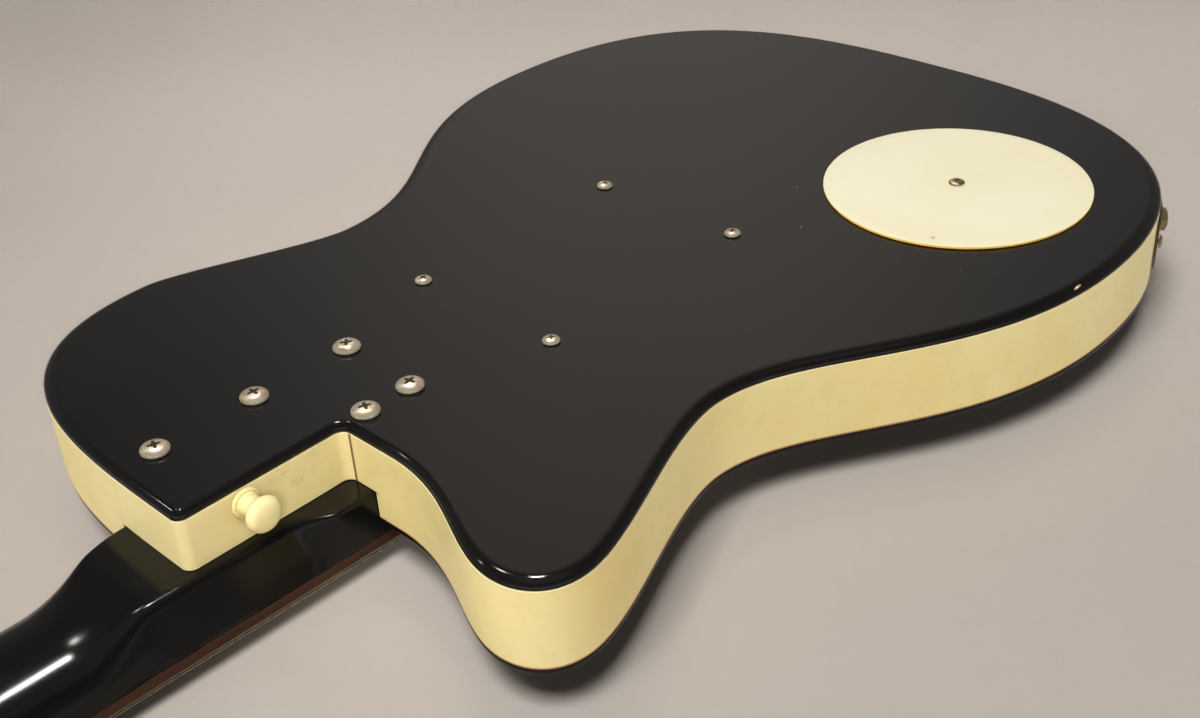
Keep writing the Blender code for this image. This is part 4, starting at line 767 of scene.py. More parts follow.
def outline(inset=0.0):
    """The whole outline, anticlockwise in plan, moved inwards by the inset."""
    round_off = CORNER_RADIUS
    corner = bend((END_WALL_X + round_off, -STEP_WALL + round_off), round_off - inset, 180, 270)
    notch = bend((NOTCH_X - round_off, -STEP_WALL - round_off), round_off + inset, 90, 0)
    return np.concatenate([bass_path(inset), corner, notch, treble_path(inset)])


def level_ring(inset, level):
    """The outline at an inset and a height."""
    return np.insert(outline(inset), 2, level, axis=1)


# Body pieces

def neck_half_width(x):
    """Half the neck's width, which tapers evenly from the heel to the nut."""
    return np.interp(x, [NUT_X, FINGERBOARD_END_X], [NUT_WIDTH / 2, HEEL_WIDTH / 2])


def pocket(gap):
    """The space that the heel takes in the body."""
    start = END_WALL_X - 0.010
    end = HEEL_END_X + gap
    near_half = neck_half_width(start) + gap
    far_half = neck_half_width(end) + gap
    loop = [(start, -near_half), (end, -far_half), (end, far_half), (start, near_half)]
    return prism(loop, TOP_FACE - 0.010, HEEL_BACK + gap)


def bore(place, radius, low=-0.08, high=0.02, sides=40):
    """A cutter along z at a place in plan."""
    return turned([(radius, low), (radius, high)], (*place, 0), sides=sides)


def rim_bores(room):
    """Cutters through the rim for the jack, its plate's screws and the strap buttons' screws."""
    point, out = along_rim(0)
    cutters = [turned([(JACK_BARREL + room, -0.02), (JACK_BARREL + room, 0.01)], point, out, 40)]
    for way in (-1, 1):
        place, direction = along_rim(way * JACK_SCREW_SPACING / 2)
        cutters.append(turned([(SMALL_SCREW[2] + room, -0.012), (SMALL_SCREW[2] + room, 0.01)], place, direction, 24))
    for base, direction in ((STRAP_STEP, (0, -1, 0)), (STRAP_TAIL, (1, 0, 0))):
        cutters.append(turned([(STRAP_SHANK + room, -0.02), (STRAP_SHANK + room, 0.01)], base, direction, 24))
    return cutters


def edge_width(points):
    """Width in plan of the back's rolled edge: narrow round the heel, wide along the outer sides."""
    near_reach, far_reach = NARROW_EDGE_REACH
    away = np.linalg.norm(points - np.array(NARROW_EDGE_PLACE), axis=1)
    share = np.clip((away - near_reach) / (far_reach - near_reach), 0, 1)
    return BACK_EDGE_NARROW + (BACK_EDGE_WIDE - BACK_EDGE_NARROW) * share**2 * (3 - 2 * share)


def make_back(finish):
    """Back board: a flat face inside a rolled edge, a quarter ellipse of 16 rings, then the short side.

    inset = width (1 - cos a) and height = -drop (1 - sin a), and the width changes round the outline.
    """
    outer = outline(0.0)
    inward = (outline(0.001) - outer) / 0.001
    width = edge_width(outer)[:, None]
    steps = [(0.1, -BACK_THICKNESS), (0.0, -BACK_THICKNESS + 0.0002)]
    steps += [(1 - math.cos(turn), -BACK_EDGE_DROP * (1 - math.sin(turn)))
              for turn in np.radians(np.linspace(0, 90, 16))]
    steps.append((1.1, 0.0))
    board = solid("back_board", skin([np.insert(outer + inward * width * share, 2, level, axis=1)
                                      for share, level in steps]))
    half = math.degrees(math.asin(ACCESS_BAR / 2 / ACCESS_RADIUS))
    moons = [prism(bend(COVER_PLACE, ACCESS_RADIUS, first + half, first + 180 - half, 50), -0.02, 0.01)
             for first in (0, 180)]
    holes = [bore(place, NECK_SCREW[2] + GAP) for place in NECK_SCREWS]
    holes += [bore(place, PICKUP_SCREW[2] + GAP) for place in PICKUP_SCREWS]
    holes.append(bore(COVER_PLACE, COVER_SCREW[2] + GAP))
    carve(board, *moons, *holes)
    dress(board, finish, stands_for=("back_panel",), angle=50)


def make_front(finish):
    """Front board: a quarter ellipse rolls its edge under, and it is cut for heel, pickups and controls."""
    wide, high = FRONT_EDGE
    steps = [(0.0005, CORE_FRONT), (0.0002, CORE_FRONT - 0.0003)]
    steps += [(0.0002 + wide * (1 - math.sin(turn)), TOP_FACE + high * (1 - math.cos(turn)))
              for turn in np.radians(np.linspace(90, 0, 10))]
    steps.append((wide + 0.0006, TOP_FACE))
    board = solid("front_board", skin([level_ring(inset, level) for inset, level in steps]))
    carve(board, pocket(GAP))
    wide = PICKUP_RADIUS + 0.0005
    long = PICKUP_LENGTH / 2 + 0.0005
    slots = [prism(rounded_rectangle((x - wide, PICKUP_SHIFT - long), (x + wide, PICKUP_SHIFT + long), 0.002),
                   TOP_FACE - 0.01, CORE_FRONT + 0.01) for x in PICKUP_X]
    holes = [bore(place, POT_BUSHING + GAP) for place in POT_PLACES]
    holes.append(bore(SWITCH_PLACE, SWITCH_BUSHING + GAP))
    holes += [bore(place, SMALL_SCREW[2] + GAP, high=CORE_FRONT + 0.005) for place in BRIDGE_SCREWS]
    carve(board, *slots, *holes)
    dress(board, finish, stands_for=("top_panel",), angle=50)


def make_band(finish):
    """The band round the rim: a thin wall with eased borders, cut where the heel goes in.

    Its foot laps a little over the front board's edge, as a thin skin on it.
    """
    low = CORE_FRONT + GAP - BAND_LAP
    high = -BACK_THICKNESS - GAP
    ease = 0.00015
    steps = [(TAPE_THICKNESS, low), (ease, low), (0.0, low + ease), (0.0, high - ease), (ease, high),
             (TAPE_THICKNESS, high)]
    band = solid("edge_band", skin([level_ring(inset, level) for inset, level in steps], rows_close=True))
    carve(band, pocket(GAP))
    carve(band, *rim_bores(2 * GAP))
    dress(band, finish, stands_for=("edge_tape",))


def along_rim(distance):
    """Point and outward direction on the treble rim, a distance along it from the jack."""
    path = treble_path()
    low = int(np.argmin(path[:, 1]))
    run = np.concatenate([path[low:], [[TAIL_X, 0]]])
    steps = np.concatenate([[0], np.cumsum(np.linalg.norm(np.diff(run, axis=0), axis=1))])
    place = np.interp(JACK_X, run[:, 0], steps) + distance
    beside = place + np.array([-0.0015, 0, 0.0015])
    xs = np.interp(beside, steps, run[:, 0])
    ys = np.interp(beside, steps, run[:, 1])
    out = np.array([ys[2] - ys[0], xs[0] - xs[2], 0.0])
    return np.array([xs[1], ys[1], CORE_MIDDLE]), out / np.linalg.norm(out)


# Neck

def evened(loop, count, corner=0.008):
    """A closed run of points set out again: even steps of length plus corner times the turning angle."""
    loop = np.concatenate([loop, loop[:1]])
    edges = np.diff(loop, axis=0)
    length = np.linalg.norm(edges, axis=1)
    keep = length > 1e-9
    loop = np.concatenate([loop[:-1][keep], loop[-1:]])
    edges = edges[keep]
    length = length[keep]
    heading = np.arctan2(edges[:, 1], edges[:, 0])
    turning = np.abs((np.roll(heading, -1) - heading + math.pi) % (2 * math.pi) - math.pi)
    reach = np.concatenate([[0], np.cumsum(length + corner * np.minimum(turning, 0.5))])
    spots = np.linspace(0, reach[-1], count, endpoint=False)
    return np.column_stack([np.interp(spots, reach, loop[:, 0]), np.interp(spots, reach, loop[:, 1])])


def smooth_share(x, start, length):
    """0 before the start and 1 a length further towards the head, with a smooth step between."""
    share = np.clip((start - x) / length, 0, 1)
    return share * share * (3 - 2 * share)


def closed_section(back, half, x):
    """A section's back line joined to the neck's flat face, which steps back a little at the head."""
    face = np.linspace(-half, half, 60)[1:-1]
    lower = NECK_FACE + NECK_FACE_STEP * smooth_share(x, NUT_X - NUT_THICKNESS, 0.008)
    return np.concatenate([back, np.column_stack([face, np.zeros(58)])]) + (0, lower)


def heel_section(x):
    """Flat back between rounded edges; each side leans in once it is clear of the body's pocket."""
    half = neck_half_width(x) - GAP
    depth = HEEL_BACK - NECK_FACE
    bass = smooth_share(x, *HEEL_LEAN_BASS)
    treble = smooth_share(x, *HEEL_LEAN_TREBLE)
    corners = [(half, 0), (half - HEEL_LEAN * depth * bass, depth), (HEEL_LEAN * depth * treble - half, depth),
               (-half, 0)]
    tight, wide = HEEL_EDGES
    rounds = (0, tight + (wide - tight) * bass, tight + (wide - tight) * treble, 0)
    return closed_section(filleted(corners, rounds, 40), half, x)


def shaft_section(x):
    """Round back: y = half |cos a|^(2/p) and z = face + thickness sin^(2/p) a, with p the roundness."""
    angle = math.pi * (1 - np.cos(math.pi * np.linspace(0, 1, 1400))) / 2
    half = neck_half_width(max(x, NUT_X)) - GAP
    thickness = np.interp(x, [NUT_X, HEEL_FALL_START], [NECK_THICKNESS_NUT, NECK_THICKNESS_BODY])
    side = np.cos(angle)
    y = half * np.sign(side) * np.abs(side) ** (2 / NECK_ROUNDNESS)
    rise = thickness * np.clip(np.sin(angle), 0, 1) ** (2 / NECK_ROUNDNESS)
    return closed_section(np.column_stack([y, rise]), half, x)


def head_section(half, inset):
    """A rounded rectangle as wide as the head there, its faces drawn in by the inset."""
    low = HEAD_FACE + inset
    high = HEAD_BACK - inset
    radius = min(0.0016, half * 0.9)
    corners = ((half - radius, high - radius, 0), (-half + radius, high - radius, 90),
               (-half + radius, low + radius, 180), (half - radius, low + radius, 270))
    loop = np.concatenate([bend((y, z), radius, start, start + 90, 10) for y, z, start in corners])
    start = np.array([[half, (low + high) / 2]])
    return np.concatenate([start, loop])


def head_plan():
    """Half outline of the head from the flare to the middle of its arched end: places and half widths."""
    tip_x = NUT_X - HEAD_LENGTH
    across = np.linspace(0.0284, 0.0003, 16)
    arch = np.column_stack([tip_x + HEAD_TIP_RISE * (across / 0.033) ** 2, across])
    near = [(NUT_X - 0.030, 0.039), (NUT_X - 0.060, 0.0376), (tip_x + 0.0128, 0.033)]
    corner = filleted(np.array([near[-2], near[-1], arch[0], arch[4]]), (0, 0.006, 0.005, 0), 9)
    return np.concatenate([near[:2], corner[1:], arch[5:]])


def make_neck(finish):
    """Heel, shaft and head as one skin over cross-sections, with holes for the posts."""
    rings = []
    square = np.linspace(HEEL_END_X, NOTCH_X, 4)[:-1]
    turning = np.linspace(NOTCH_X, HEEL_FALL_START - HEEL_FALL_LENGTH, 90)[:-1]
    shaft = np.linspace(HEEL_FALL_START - HEEL_FALL_LENGTH, NUT_X, 26)[:-1]
    flare = np.linspace(NUT_X, NUT_X - 0.030, 34)[:-1]
    count = 156
    for x in np.concatenate([square, turning, shaft]):
        fall = smooth_share(x, HEEL_FALL_START, HEEL_FALL_LENGTH)
        ring = evened(heel_section(x), count) * (1 - fall) + evened(shaft_section(x), count) * fall
        rings.append(np.column_stack([np.full(count, x), ring]))
    for x in flare:
        share = np.clip((NUT_X + 0.006 - x) / 0.036, 0, 1)
        wing = NUT_WIDTH / 4 + (0.039 - NUT_WIDTH / 4) * share**2 * (3 - 2 * share)
        half = 0.0014 * np.logaddexp(wing / 0.0014, (NUT_WIDTH / 2 - GAP) / 0.0014)
        blend = smooth_share(x, NUT_X - 0.002, 0.022)
        round_part = shaft_section(x)
        round_part[:, 0] *= half / (NUT_WIDTH / 2 - GAP)
        ring = evened(round_part, count) * (1 - blend) + evened(head_section(half, 0.0), count) * blend
        rings.append(np.column_stack([np.full(count, x), ring]))
    tip_x = NUT_X - HEAD_LENGTH
    for x, half in head_plan():
        depth = min(x - tip_x, 0.0015)
        inset = 0.0015 - math.sqrt(max(0.0015**2 - (0.0015 - depth) ** 2, 0))
        rings.append(np.column_stack([np.full(count, x), evened(head_section(half, inset), count)]))
    neck = solid("neck_wood", skin(rings))
    holes = [bore(place, POST_RADIUS + GAP) for place in POST_PLACES]
    holes += [bore(place, NECK_SCREW[2] + GAP, low=-NECK_SCREW[3] - GAP) for place in NECK_SCREWS]
    carve(neck, *holes)
    dress(neck, finish, stands_for=("neck",), angle=40)


def fret_place(number):
    """Place of a fret by the equal-tempered rule."""
    return -SCALE_LENGTH * 2 ** (-number / 12)


def board_face(side):
    """Height of the fingerboard's cambered face at a share of its half width."""
    return NECK_FACE - FINGERBOARD_THICKNESS + CAMBER * side**2


def make_fingerboard(wood, wire, dot_finish):
    """The cambered board with eased long edges, 21 fret wires and plain position dots."""
    side = np.linspace(1, -1, 25)
    rings = []
    for x in np.concatenate([[FINGERBOARD_END_X], np.linspace(-0.19, NUT_X + 0.006, 60), [NUT_X + GAP]]):
        half = neck_half_width(x) - GAP
        face = np.column_stack([np.full(25, x), (half - 0.0003) * side, board_face(side)])
        ease = [(x, half, board_face(1) + 0.0003), *face, (x, -half, board_face(1) + 0.0003)]
        under = NECK_FACE - GAP
        rings.append(np.concatenate([[(x, half, under)], ease, [(x, -half, under)]]))
    board = solid("fingerboard_wood", skin(rings))
    dress(board, wood, stands_for=("fingerboard",))
    wires = []
    for number in range(1, FRETS + 1):
        x = fret_place(number)
        half = neck_half_width(x) - GAP
        angle = np.linspace(0, math.pi, 9)
        crown = np.column_stack([0.0012 * np.cos(angle), -0.001 * np.sin(angle)])
        crown = np.concatenate([[(0.0012, 0.0004)], crown, [(-0.0012, 0.0004)]])
        rows = []
        shares = np.array((-0.975, -0.955, -0.93, *np.linspace(-0.9, 0.9, 13), 0.93, 0.955, 0.975))
        lifts = np.interp(np.abs(shares), (0.90, 0.93, 0.955, 0.975), (1.0, 0.92, 0.55, 0.05))
        for share, lift in zip(shares, lifts):
            drop = np.where(crown[:, 1] < 0, crown[:, 1] * lift, crown[:, 1])
            rows.append(np.column_stack([x + crown[:, 0], np.full(11, half * share), board_face(share) + drop]))
        wires.append(skin(rows))
    dress(solid("fret_wires", together(*wires)), wire)
    dots = []
    for number in (3, 5, 7, 9, 12, 15, 17, 19, 21):
        middle = (fret_place(number) + fret_place(number - 1)) / 2
        for y in ((-0.011, 0.011) if number == 12 else (0.0,)):
            level = float(board_face(y / neck_half_width(middle)))
            dots.append(turned([(0.0031, level + 0.001), (0.0031, level - 0.00002), (0.0029, level - 0.00006)],
                               (middle, y, 0), sides=40))
    dress(solid("position_dots", together(*dots)), dot_finish)


def string_y(number, spread):
    """Distance of a string from the centre line, the first string on the treble side."""
    return (number - 3.5) / 5 * spread


def make_nut(finish):
    """A metal nut: a rounded top that follows the camber, with a slot for each string."""
    half = NUT_WIDTH / 2 - GAP
    low = NUT_X - NUT_THICKNESS - GAP
    high = NUT_X - GAP
    under = NECK_FACE - GAP
    section = filleted([(low, under), (high, under), (high, 0.0), (low, 0.0015), (low, under)],
                       (0, 0.0, 0.0008, 0.0016, 0), 6)[:-1]
    rings = []
    for side in np.linspace(-1, 1, 31):
        top = NECK_FACE - NUT_HEIGHT + CAMBER * side**2
        level = np.where(section[:, 1] > under, section[:, 1] + top, under)
        rings.append(np.column_stack([section[:, 0], np.full(len(section), half * side), level]))
    nut = solid("nut_bar", skin(rings))
    slots = []
    for number in range(1, 7):
        radius = STRING_DIAMETERS[number - 1] / 2 + 0.0001
        y = string_y(number, STRING_SPREAD_NUT)
        path = [(low - 0.002, y, -STRING_DEPTH_NUT + 0.0002), (high + 0.002, y, -STRING_DEPTH_NUT + 0.0002)]
        slots.append(swept(path, radius, 12))
    carve(nut, *slots)
    dress(nut, finish, stands_for=("nut",))


# Strings

def string_path(number):
    """From the ball end over the saddle and the nut, then in turns that climb the post."""
    radius = STRING_DIAMETERS[number - 1] / 2
    y_saddle = string_y(number, STRING_SPREAD_SADDLE)
    y_nut = string_y(number, STRING_SPREAD_NUT)
    post = np.array(POST_PLACES[POST_NUMBERS.index(number)])
    start = [(BRIDGE_REAR + 0.0010, y_saddle, LIP_LEVEL), (BRIDGE_REAR - 0.004, y_saddle, LIP_LEVEL),
             (0.0024, y_saddle, -STRING_DEPTH_SADDLE), (-0.0024, y_saddle, -STRING_DEPTH_SADDLE)]
    nut = [(NUT_X, y_nut, -STRING_DEPTH_NUT), (NUT_X - NUT_THICKNESS - GAP, y_nut, -STRING_DEPTH_NUT)]
    wind = POST_WAIST + GAP + radius
    away = post - np.array(nut[-1][:2])
    heading = math.atan2(away[1], away[0])
    inner = 1 if post[1] > 0 else -1
    touch = heading + inner * (math.pi / 2 + math.asin(wind / np.linalg.norm(away)))
    step = np.arange(0, int(24 * STRING_WINDS) + 1)
    angle = touch - inner * 2 * math.pi * step / 24
    climb = -STRING_POST_DEPTH - (2 * radius + 0.0002) * step / 24
    winds = np.column_stack([post[0] + wind * np.cos(angle), post[1] + wind * np.sin(angle), climb])
    run = np.concatenate([start, nut, winds[:1]])
    eased = filleted(run, (0, 0.002, 0.0012, 0.0012, 0.0012, 0.002, 0), 5)
    return np.concatenate([eased, winds[1:]])


def make_strings(plain, wound, brass):
    """Six strings, each with its ball; the three low ones are wound."""
    for number in range(1, 7):
        radius = STRING_DIAMETERS[number - 1] / 2
        wire = solid(f"string_wire_{number}", swept(string_path(number), radius, 12))
        dress(wire, wound if number > 3 else plain, stands_for=(f"string_{number}",))
        y = string_y(number, STRING_SPREAD_SADDLE)
        ball = filleted([(0.0005, 0.0), (0.0019, 0.0), (0.0019, 0.0011), (0.0013, 0.0016), (0.0019, 0.0021),
                         (0.0019, 0.0032), (0.0005, 0.0032)], 0.0005, 4)
        shape = turned(ball, (BRIDGE_REAR + 0.0004, y, LIP_LEVEL), (1, 0, 0), 32)
        dress(solid(f"string_ball_{number}", shape), brass)


# Screws

def head_profile(size, seat=GAP):
    """Half section of a domed screw: shank and point, flat underside, thin rim, then a cap.

    radius = head cos t and height = rim + dome sin t over the cap.
    """
    head, dome, shank, length = size
    angle = np.radians(np.linspace(0, 89, 14))
    rim = seat + dome * 0.16
    cap = np.column_stack([head * np.cos(angle) ** 0.9, rim + dome * 0.78 * np.sin(angle)])
    shaft = [(shank * 0.35, -length), (shank, -length + shank * 1.6), (shank, seat), (head * 0.98, seat)]
    return np.concatenate([shaft, cap])


def cross_cutter(size):
    """A tapered cross: the same plus-shaped outline, smaller at the bottom."""
    head, dome = size[:2]
    arm = head * 0.46
    half = head * 0.085
    plus = np.array([(arm, -half), (arm, half), (half * 1.7, half * 1.7), (half, arm), (-half, arm),
                     (-half * 1.7, half * 1.7), (-arm, half), (-arm, -half), (-half * 1.7, -half * 1.7),
                     (-half, -arm), (half, -arm), (half * 1.7, -half * 1.7)])
    steps = ((0.30, dome * 0.10), (0.80, dome * 0.45), (1.0, dome * 0.9), (1.12, dome * 2.0))
    return skin([np.insert(plus * scale, 2, level + GAP, axis=1) for scale, level in steps])


def screw_template(size):
    """One screw with its cross recess: points, faces and which faces lie in the recess."""
    blank = solid("screw_blank", turned(head_profile(size), sides=56))
    blank.data.transform(Matrix.Translation(Vector(-SHIFT)))
    cutter = solid("screw_cutter", cross_cutter(size))
    cutter.data.transform(Matrix.Translation(Vector(-SHIFT)))
    boolean(blank, cutter, "DIFFERENCE")
    mesh = blank.data
    points = np.zeros(len(mesh.vertices) * 3)
    mesh.vertices.foreach_get("co", points)
    points = points.reshape(-1, 3)
    faces = [tuple(face.vertices) for face in mesh.polygons]
    middles = np.array([points[list(face)].mean(axis=0) for face in faces])
    radius = np.hypot(middles[:, 0], middles[:, 1])
    head, dome = size[:2]
    surface = GAP + dome * (0.16 + 0.78 * np.sqrt(np.clip(1 - (radius / head) ** 2.2, 0, 1)))
    recess = (radius < head * 0.6) & (middles[:, 2] > GAP) & (middles[:, 2] < surface - dome * 0.10)
    bpy.data.objects.remove(blank)
    return points, faces, recess


def place_screws(template, names, bases, axis, turns, finish, grime, stands=True):
    """Copies of a screw, each turned about its axis and set on its base."""
    points, faces, recess = template
    across, over, along = axes_round(axis)
    for name, base, turn in zip(names, bases, turns):
        cosine = math.cos(turn)
        sine = math.sin(turn)
        x = points[:, 0] * cosine - points[:, 1] * sine
        y = points[:, 0] * sine + points[:, 1] * cosine
        spot = np.asarray(base) + x[:, None] * across + y[:, None] * over + points[:, 2:] * along
        made = solid(name + "_head" if stands else name, (spot, faces))
        made.data.materials.append(finish)
        made.data.materials.append(grime)
        made.data.polygons.foreach_set("material_index", recess.astype(np.int32))
        dress(made, finish, stands_for=(name,) if stands else ())


# Cover and strap buttons

def make_cover(finish):
    """The round cover: a disc with a rolled edge, pierced for its screw."""
    hole = COVER_SCREW[2] + GAP
    face = GAP + COVER_THICKNESS
    radius = COVER_RADIUS
    profile = filleted([(hole, GAP), (radius, GAP), (radius, face), (radius - 0.004, face), (hole, face)],
                       (0, 0.0002, 0.0004, 0, 0), 6)
    disc = solid("rear_cover", turned(profile, (*COVER_PLACE, 0), sides=220, close=True))
    dress(disc, finish, stands_for=("control_cover",))


def make_strap_buttons(finish):
    """Turned buttons: a flange with a raised inner ring, a slim waist and a mushroom head."""
    high = STRAP_HEIGHT - 0.0001
    flange = 0.0058
    waist = 0.0039
    head = 0.0069
    profile = [(STRAP_SHANK * 0.4, -0.018), (STRAP_SHANK, -0.015), (STRAP_SHANK, GAP), (flange, GAP),
               (flange, high * 0.10), (flange * 0.86, high * 0.13), (flange * 0.80, high * 0.11),
               (flange * 0.72, high * 0.18), (waist * 1.10, high * 0.24), (waist * 0.96, high * 0.40),
               (waist * 1.10, high * 0.55), (head * 0.90, high * 0.66), (head, high * 0.75),
               (head * 0.97, high * 0.86), (head * 0.80, high * 0.95), (head * 0.45, high * 0.992),
               (head * 0.04, high)]
    radii = [0, 0.001, 0.0001, 0.0002, 0.0005, 0.0004, 0.0004, 0.0008, 0.0016, 0.003, 0.0016, 0.0010, 0.0010,
             0.0012, 0.0016, 0.0016, 0]
    smooth = filleted(profile, radii, 6)
    for name, base, axis in (("step", STRAP_STEP, (0, -1, 0)), ("tail", STRAP_TAIL, (1, 0, 0))):
        button = solid(f"strap_peg_{name}", turned(smooth, base, axis, 72))
        dress(button, finish, stands_for=(f"strap_button_{name}",), angle=45)


# Jack

def make_jack(metal, plate_metal, dark, template):
    """A curved plate with round corners, a threaded barrel, a chamfered hexagon nut and two screws."""
    half = 0.027
    tall = 0.012
    corner = 0.005
    rings = []
    for share in np.sin(np.linspace(-math.pi / 2, math.pi / 2, 49)):
        distance = half * share
        point, out = along_rim(distance)
        beyond = max(abs(distance) - (half - corner), 0)
        height = tall - corner + math.sqrt(max(corner**2 - beyond**2, 0)) - 0.00001
        foot = point + out * GAP
        outer = foot + out * PLATE
        lip = foot + out * (PLATE - 0.0003)
        up = np.array([0, 0, 1.0])
        rings.append([foot - up * height, lip - up * height, outer - up * (height - 0.0003),
                      outer + up * (height - 0.0003), lip + up * height, foot + up * height])
    plate = solid("jack_cover", skin(rings))
    carve(plate, *rim_bores(GAP))
    dress(plate, plate_metal, stands_for=("jack_plate",))
    point, out = along_rim(0)
    rise = JACK_RISE
    thread = []
    height = GAP + PLATE
    while height < rise - 0.0011:
        thread += [(JACK_BARREL - 0.0002, height), (JACK_BARREL, height + 0.0002), (JACK_BARREL, height + 0.0003)]
        height += 0.0005
    profile = [(JACK_BODY, -0.0285), (JACK_BODY, -0.0125), (JACK_BARREL, -0.0125)] + thread
    profile += [(JACK_BARREL, rise - 0.0006), (JACK_BARREL - 0.0006, rise), (JACK_HOLE + 0.0004, rise),
                (JACK_HOLE, rise - 0.0004), (JACK_HOLE, -0.0194)]
    dress(solid("jack_barrel", turned(profile, point, out, 64)), metal, stands_for=("jack_socket",))
    # Painted shade: a dark sleeve inside the barrel's hole.
    shade = [(JACK_HOLE - 0.00005, -0.0180), (JACK_HOLE - 0.00005, rise - 0.0015), (JACK_HOLE - 0.0004, rise - 0.0015),
             (JACK_HOLE - 0.0004, -0.0180)]
    dress(solid("jack_lining", turned(shade, point, out, 48, close=True)), dark)
    low = 2 * GAP + PLATE
    high = low + 0.003
    across, over, along = axes_round(out)
    angle = np.arange(96) * 2 * math.pi / 96
    fold = np.degrees(angle) % 60 - 30
    hexagon = JACK_FLATS / np.cos(np.radians(fold))
    hole = np.full(96, JACK_BARREL + GAP)
    rows = [(hole, low), (np.minimum(hexagon, JACK_FLATS + 0.0004), low), (hexagon, low + 0.0003)]
    rows += [(np.minimum(hexagon, JACK_FLATS + 0.0001 + room * 3.5), high - room)
             for room in (0.0002, 0.00015, 0.0001, 0.00005, 0.0)]
    rows.append((hole, high))
    rings = [point + np.outer(r * np.cos(angle), across) + np.outer(r * np.sin(angle), over) + h * along
             for r, h in rows]
    dress(solid("jack_hexagon", skin(rings, rows_close=True)), metal, stands_for=("jack_nut",), angle=25)
    for number, way in ((1, -1), (2, 1)):
        place, direction = along_rim(way * JACK_SCREW_SPACING / 2)
        base = place + direction * (GAP + PLATE)
        place_screws(template, [f"jack_plate_screw_{number}"], [base], direction, [0.6 * way], metal, dark)


# Front hardware

def rounded_rectangle(low, high, radius, count=9):
    """A rectangle in plan with round corners."""
    corners = ((high[0] - radius, high[1] - radius, 0), (low[0] + radius, high[1] - radius, 90),
               (low[0] + radius, low[1] + radius, 180), (high[0] - radius, low[1] + radius, 270))
    return np.concatenate([bend((x, y), radius, start, start + 90, count) for x, y, start in corners])


def eased_slab(low, high, radius, bottom, top, ease):
    """A slab with round corners in plan and eased borders on both faces."""
    def ring(inset, level):
        inner = [low[0] + inset, low[1] + inset], [high[0] - inset, high[1] - inset]
        return np.insert(rounded_rectangle(*inner, radius - inset), 2, level, axis=1)
    return skin([ring(ease, bottom), ring(ease * 0.3, bottom + ease * 0.3), ring(0, bottom + ease),
                 ring(0, top - ease), ring(ease * 0.3, top - ease * 0.3), ring(ease, top)])


def make_guard(finish, template, metal, grime):
    """The single-layer guard with a bevelled border and four small screws."""
    face = TOP_FACE - GAP
    guard = solid("guard_plate", eased_slab((-0.168, -0.088), (-0.006, -0.046), 0.018, face - 0.0016, face, 0.0006))
    places = ((-0.155, -0.0750), (-0.155, -0.0590), (-0.019, -0.0750), (-0.019, -0.0590))
    carve(guard, *[bore(place, SMALL_SCREW[2] + 0.0002, sides=24) for place in places])
    dress(guard, finish, stands_for=("pickguard",))
    bases = [(*place, face - 0.0016) for place in places]
    place_screws(template, [f"guard_screw_{number}" for number in range(1, 5)], bases, (0, 0, -1),
                 (0.3, 1.1, 0.8, 0.1), metal, grime, stands=False)


def make_pickups(chrome):
    """Two chromed tubes with rounded ends and a lengthwise seam, each with ears and a trough inside."""
    axis_z = TOP_FACE - PICKUP_RISE + PICKUP_RADIUS
    half = PICKUP_LENGTH / 2
    for label, x in zip(("neck", "bridge"), PICKUP_X):
        angle = np.radians(np.linspace(0, 90, 9))
        cap = [(PICKUP_RADIUS - 0.0018 + 0.0018 * math.sin(a), 0.0018 * (1 - math.cos(a))) for a in angle]
        profile = [(PICKUP_RADIUS - 0.004, -half)] + [(r, -half + h) for r, h in cap]
        seam = [(PICKUP_RADIUS, half - 0.0052), (PICKUP_RADIUS - 0.00018, half - 0.0050),
                (PICKUP_RADIUS - 0.00018, half - 0.0048), (PICKUP_RADIUS, half - 0.0046)]
        profile += seam + [(r, half - h) for r, h in reversed(cap)] + [(PICKUP_RADIUS - 0.004, half)]
        tube = solid(f"pickup_{label}_tube", turned(profile, (x, PICKUP_SHIFT, axis_z), (0, 1, 0), 96))
        low = CORE_FRONT + GAP
        ears = []
        for way in (-1, 1):
            ends = sorted((PICKUP_SHIFT + way * (half - 0.004), PICKUP_SHIFT + way * 0.0415))
            ears.append(prism([(x - 0.0045, ends[0]), (x + 0.0045, ends[0]), (x + 0.0045, ends[1]),
                               (x - 0.0045, ends[1])], low, low + 0.0025))
        carve(tube, *ears, operation="UNION")
        inner = half - 0.0049
        floor = axis_z - math.sqrt(PICKUP_RADIUS**2 - 0.0052**2) + 0.0009
        trough = prism([(x - 0.0052, PICKUP_SHIFT - inner), (x + 0.0052, PICKUP_SHIFT - inner),
                        (x + 0.0052, PICKUP_SHIFT + inner), (x - 0.0052, PICKUP_SHIFT + inner)], floor, axis_z + 0.02)
        rows = (PICKUP_SHIFT + 0.0365, PICKUP_SHIFT - 0.0365)
        carve(tube, trough, *[bore((x, y), PICKUP_SCREW[2] + GAP) for y in rows])
        dress(tube, chrome, stands_for=(f"pickup_{label}_cover",))


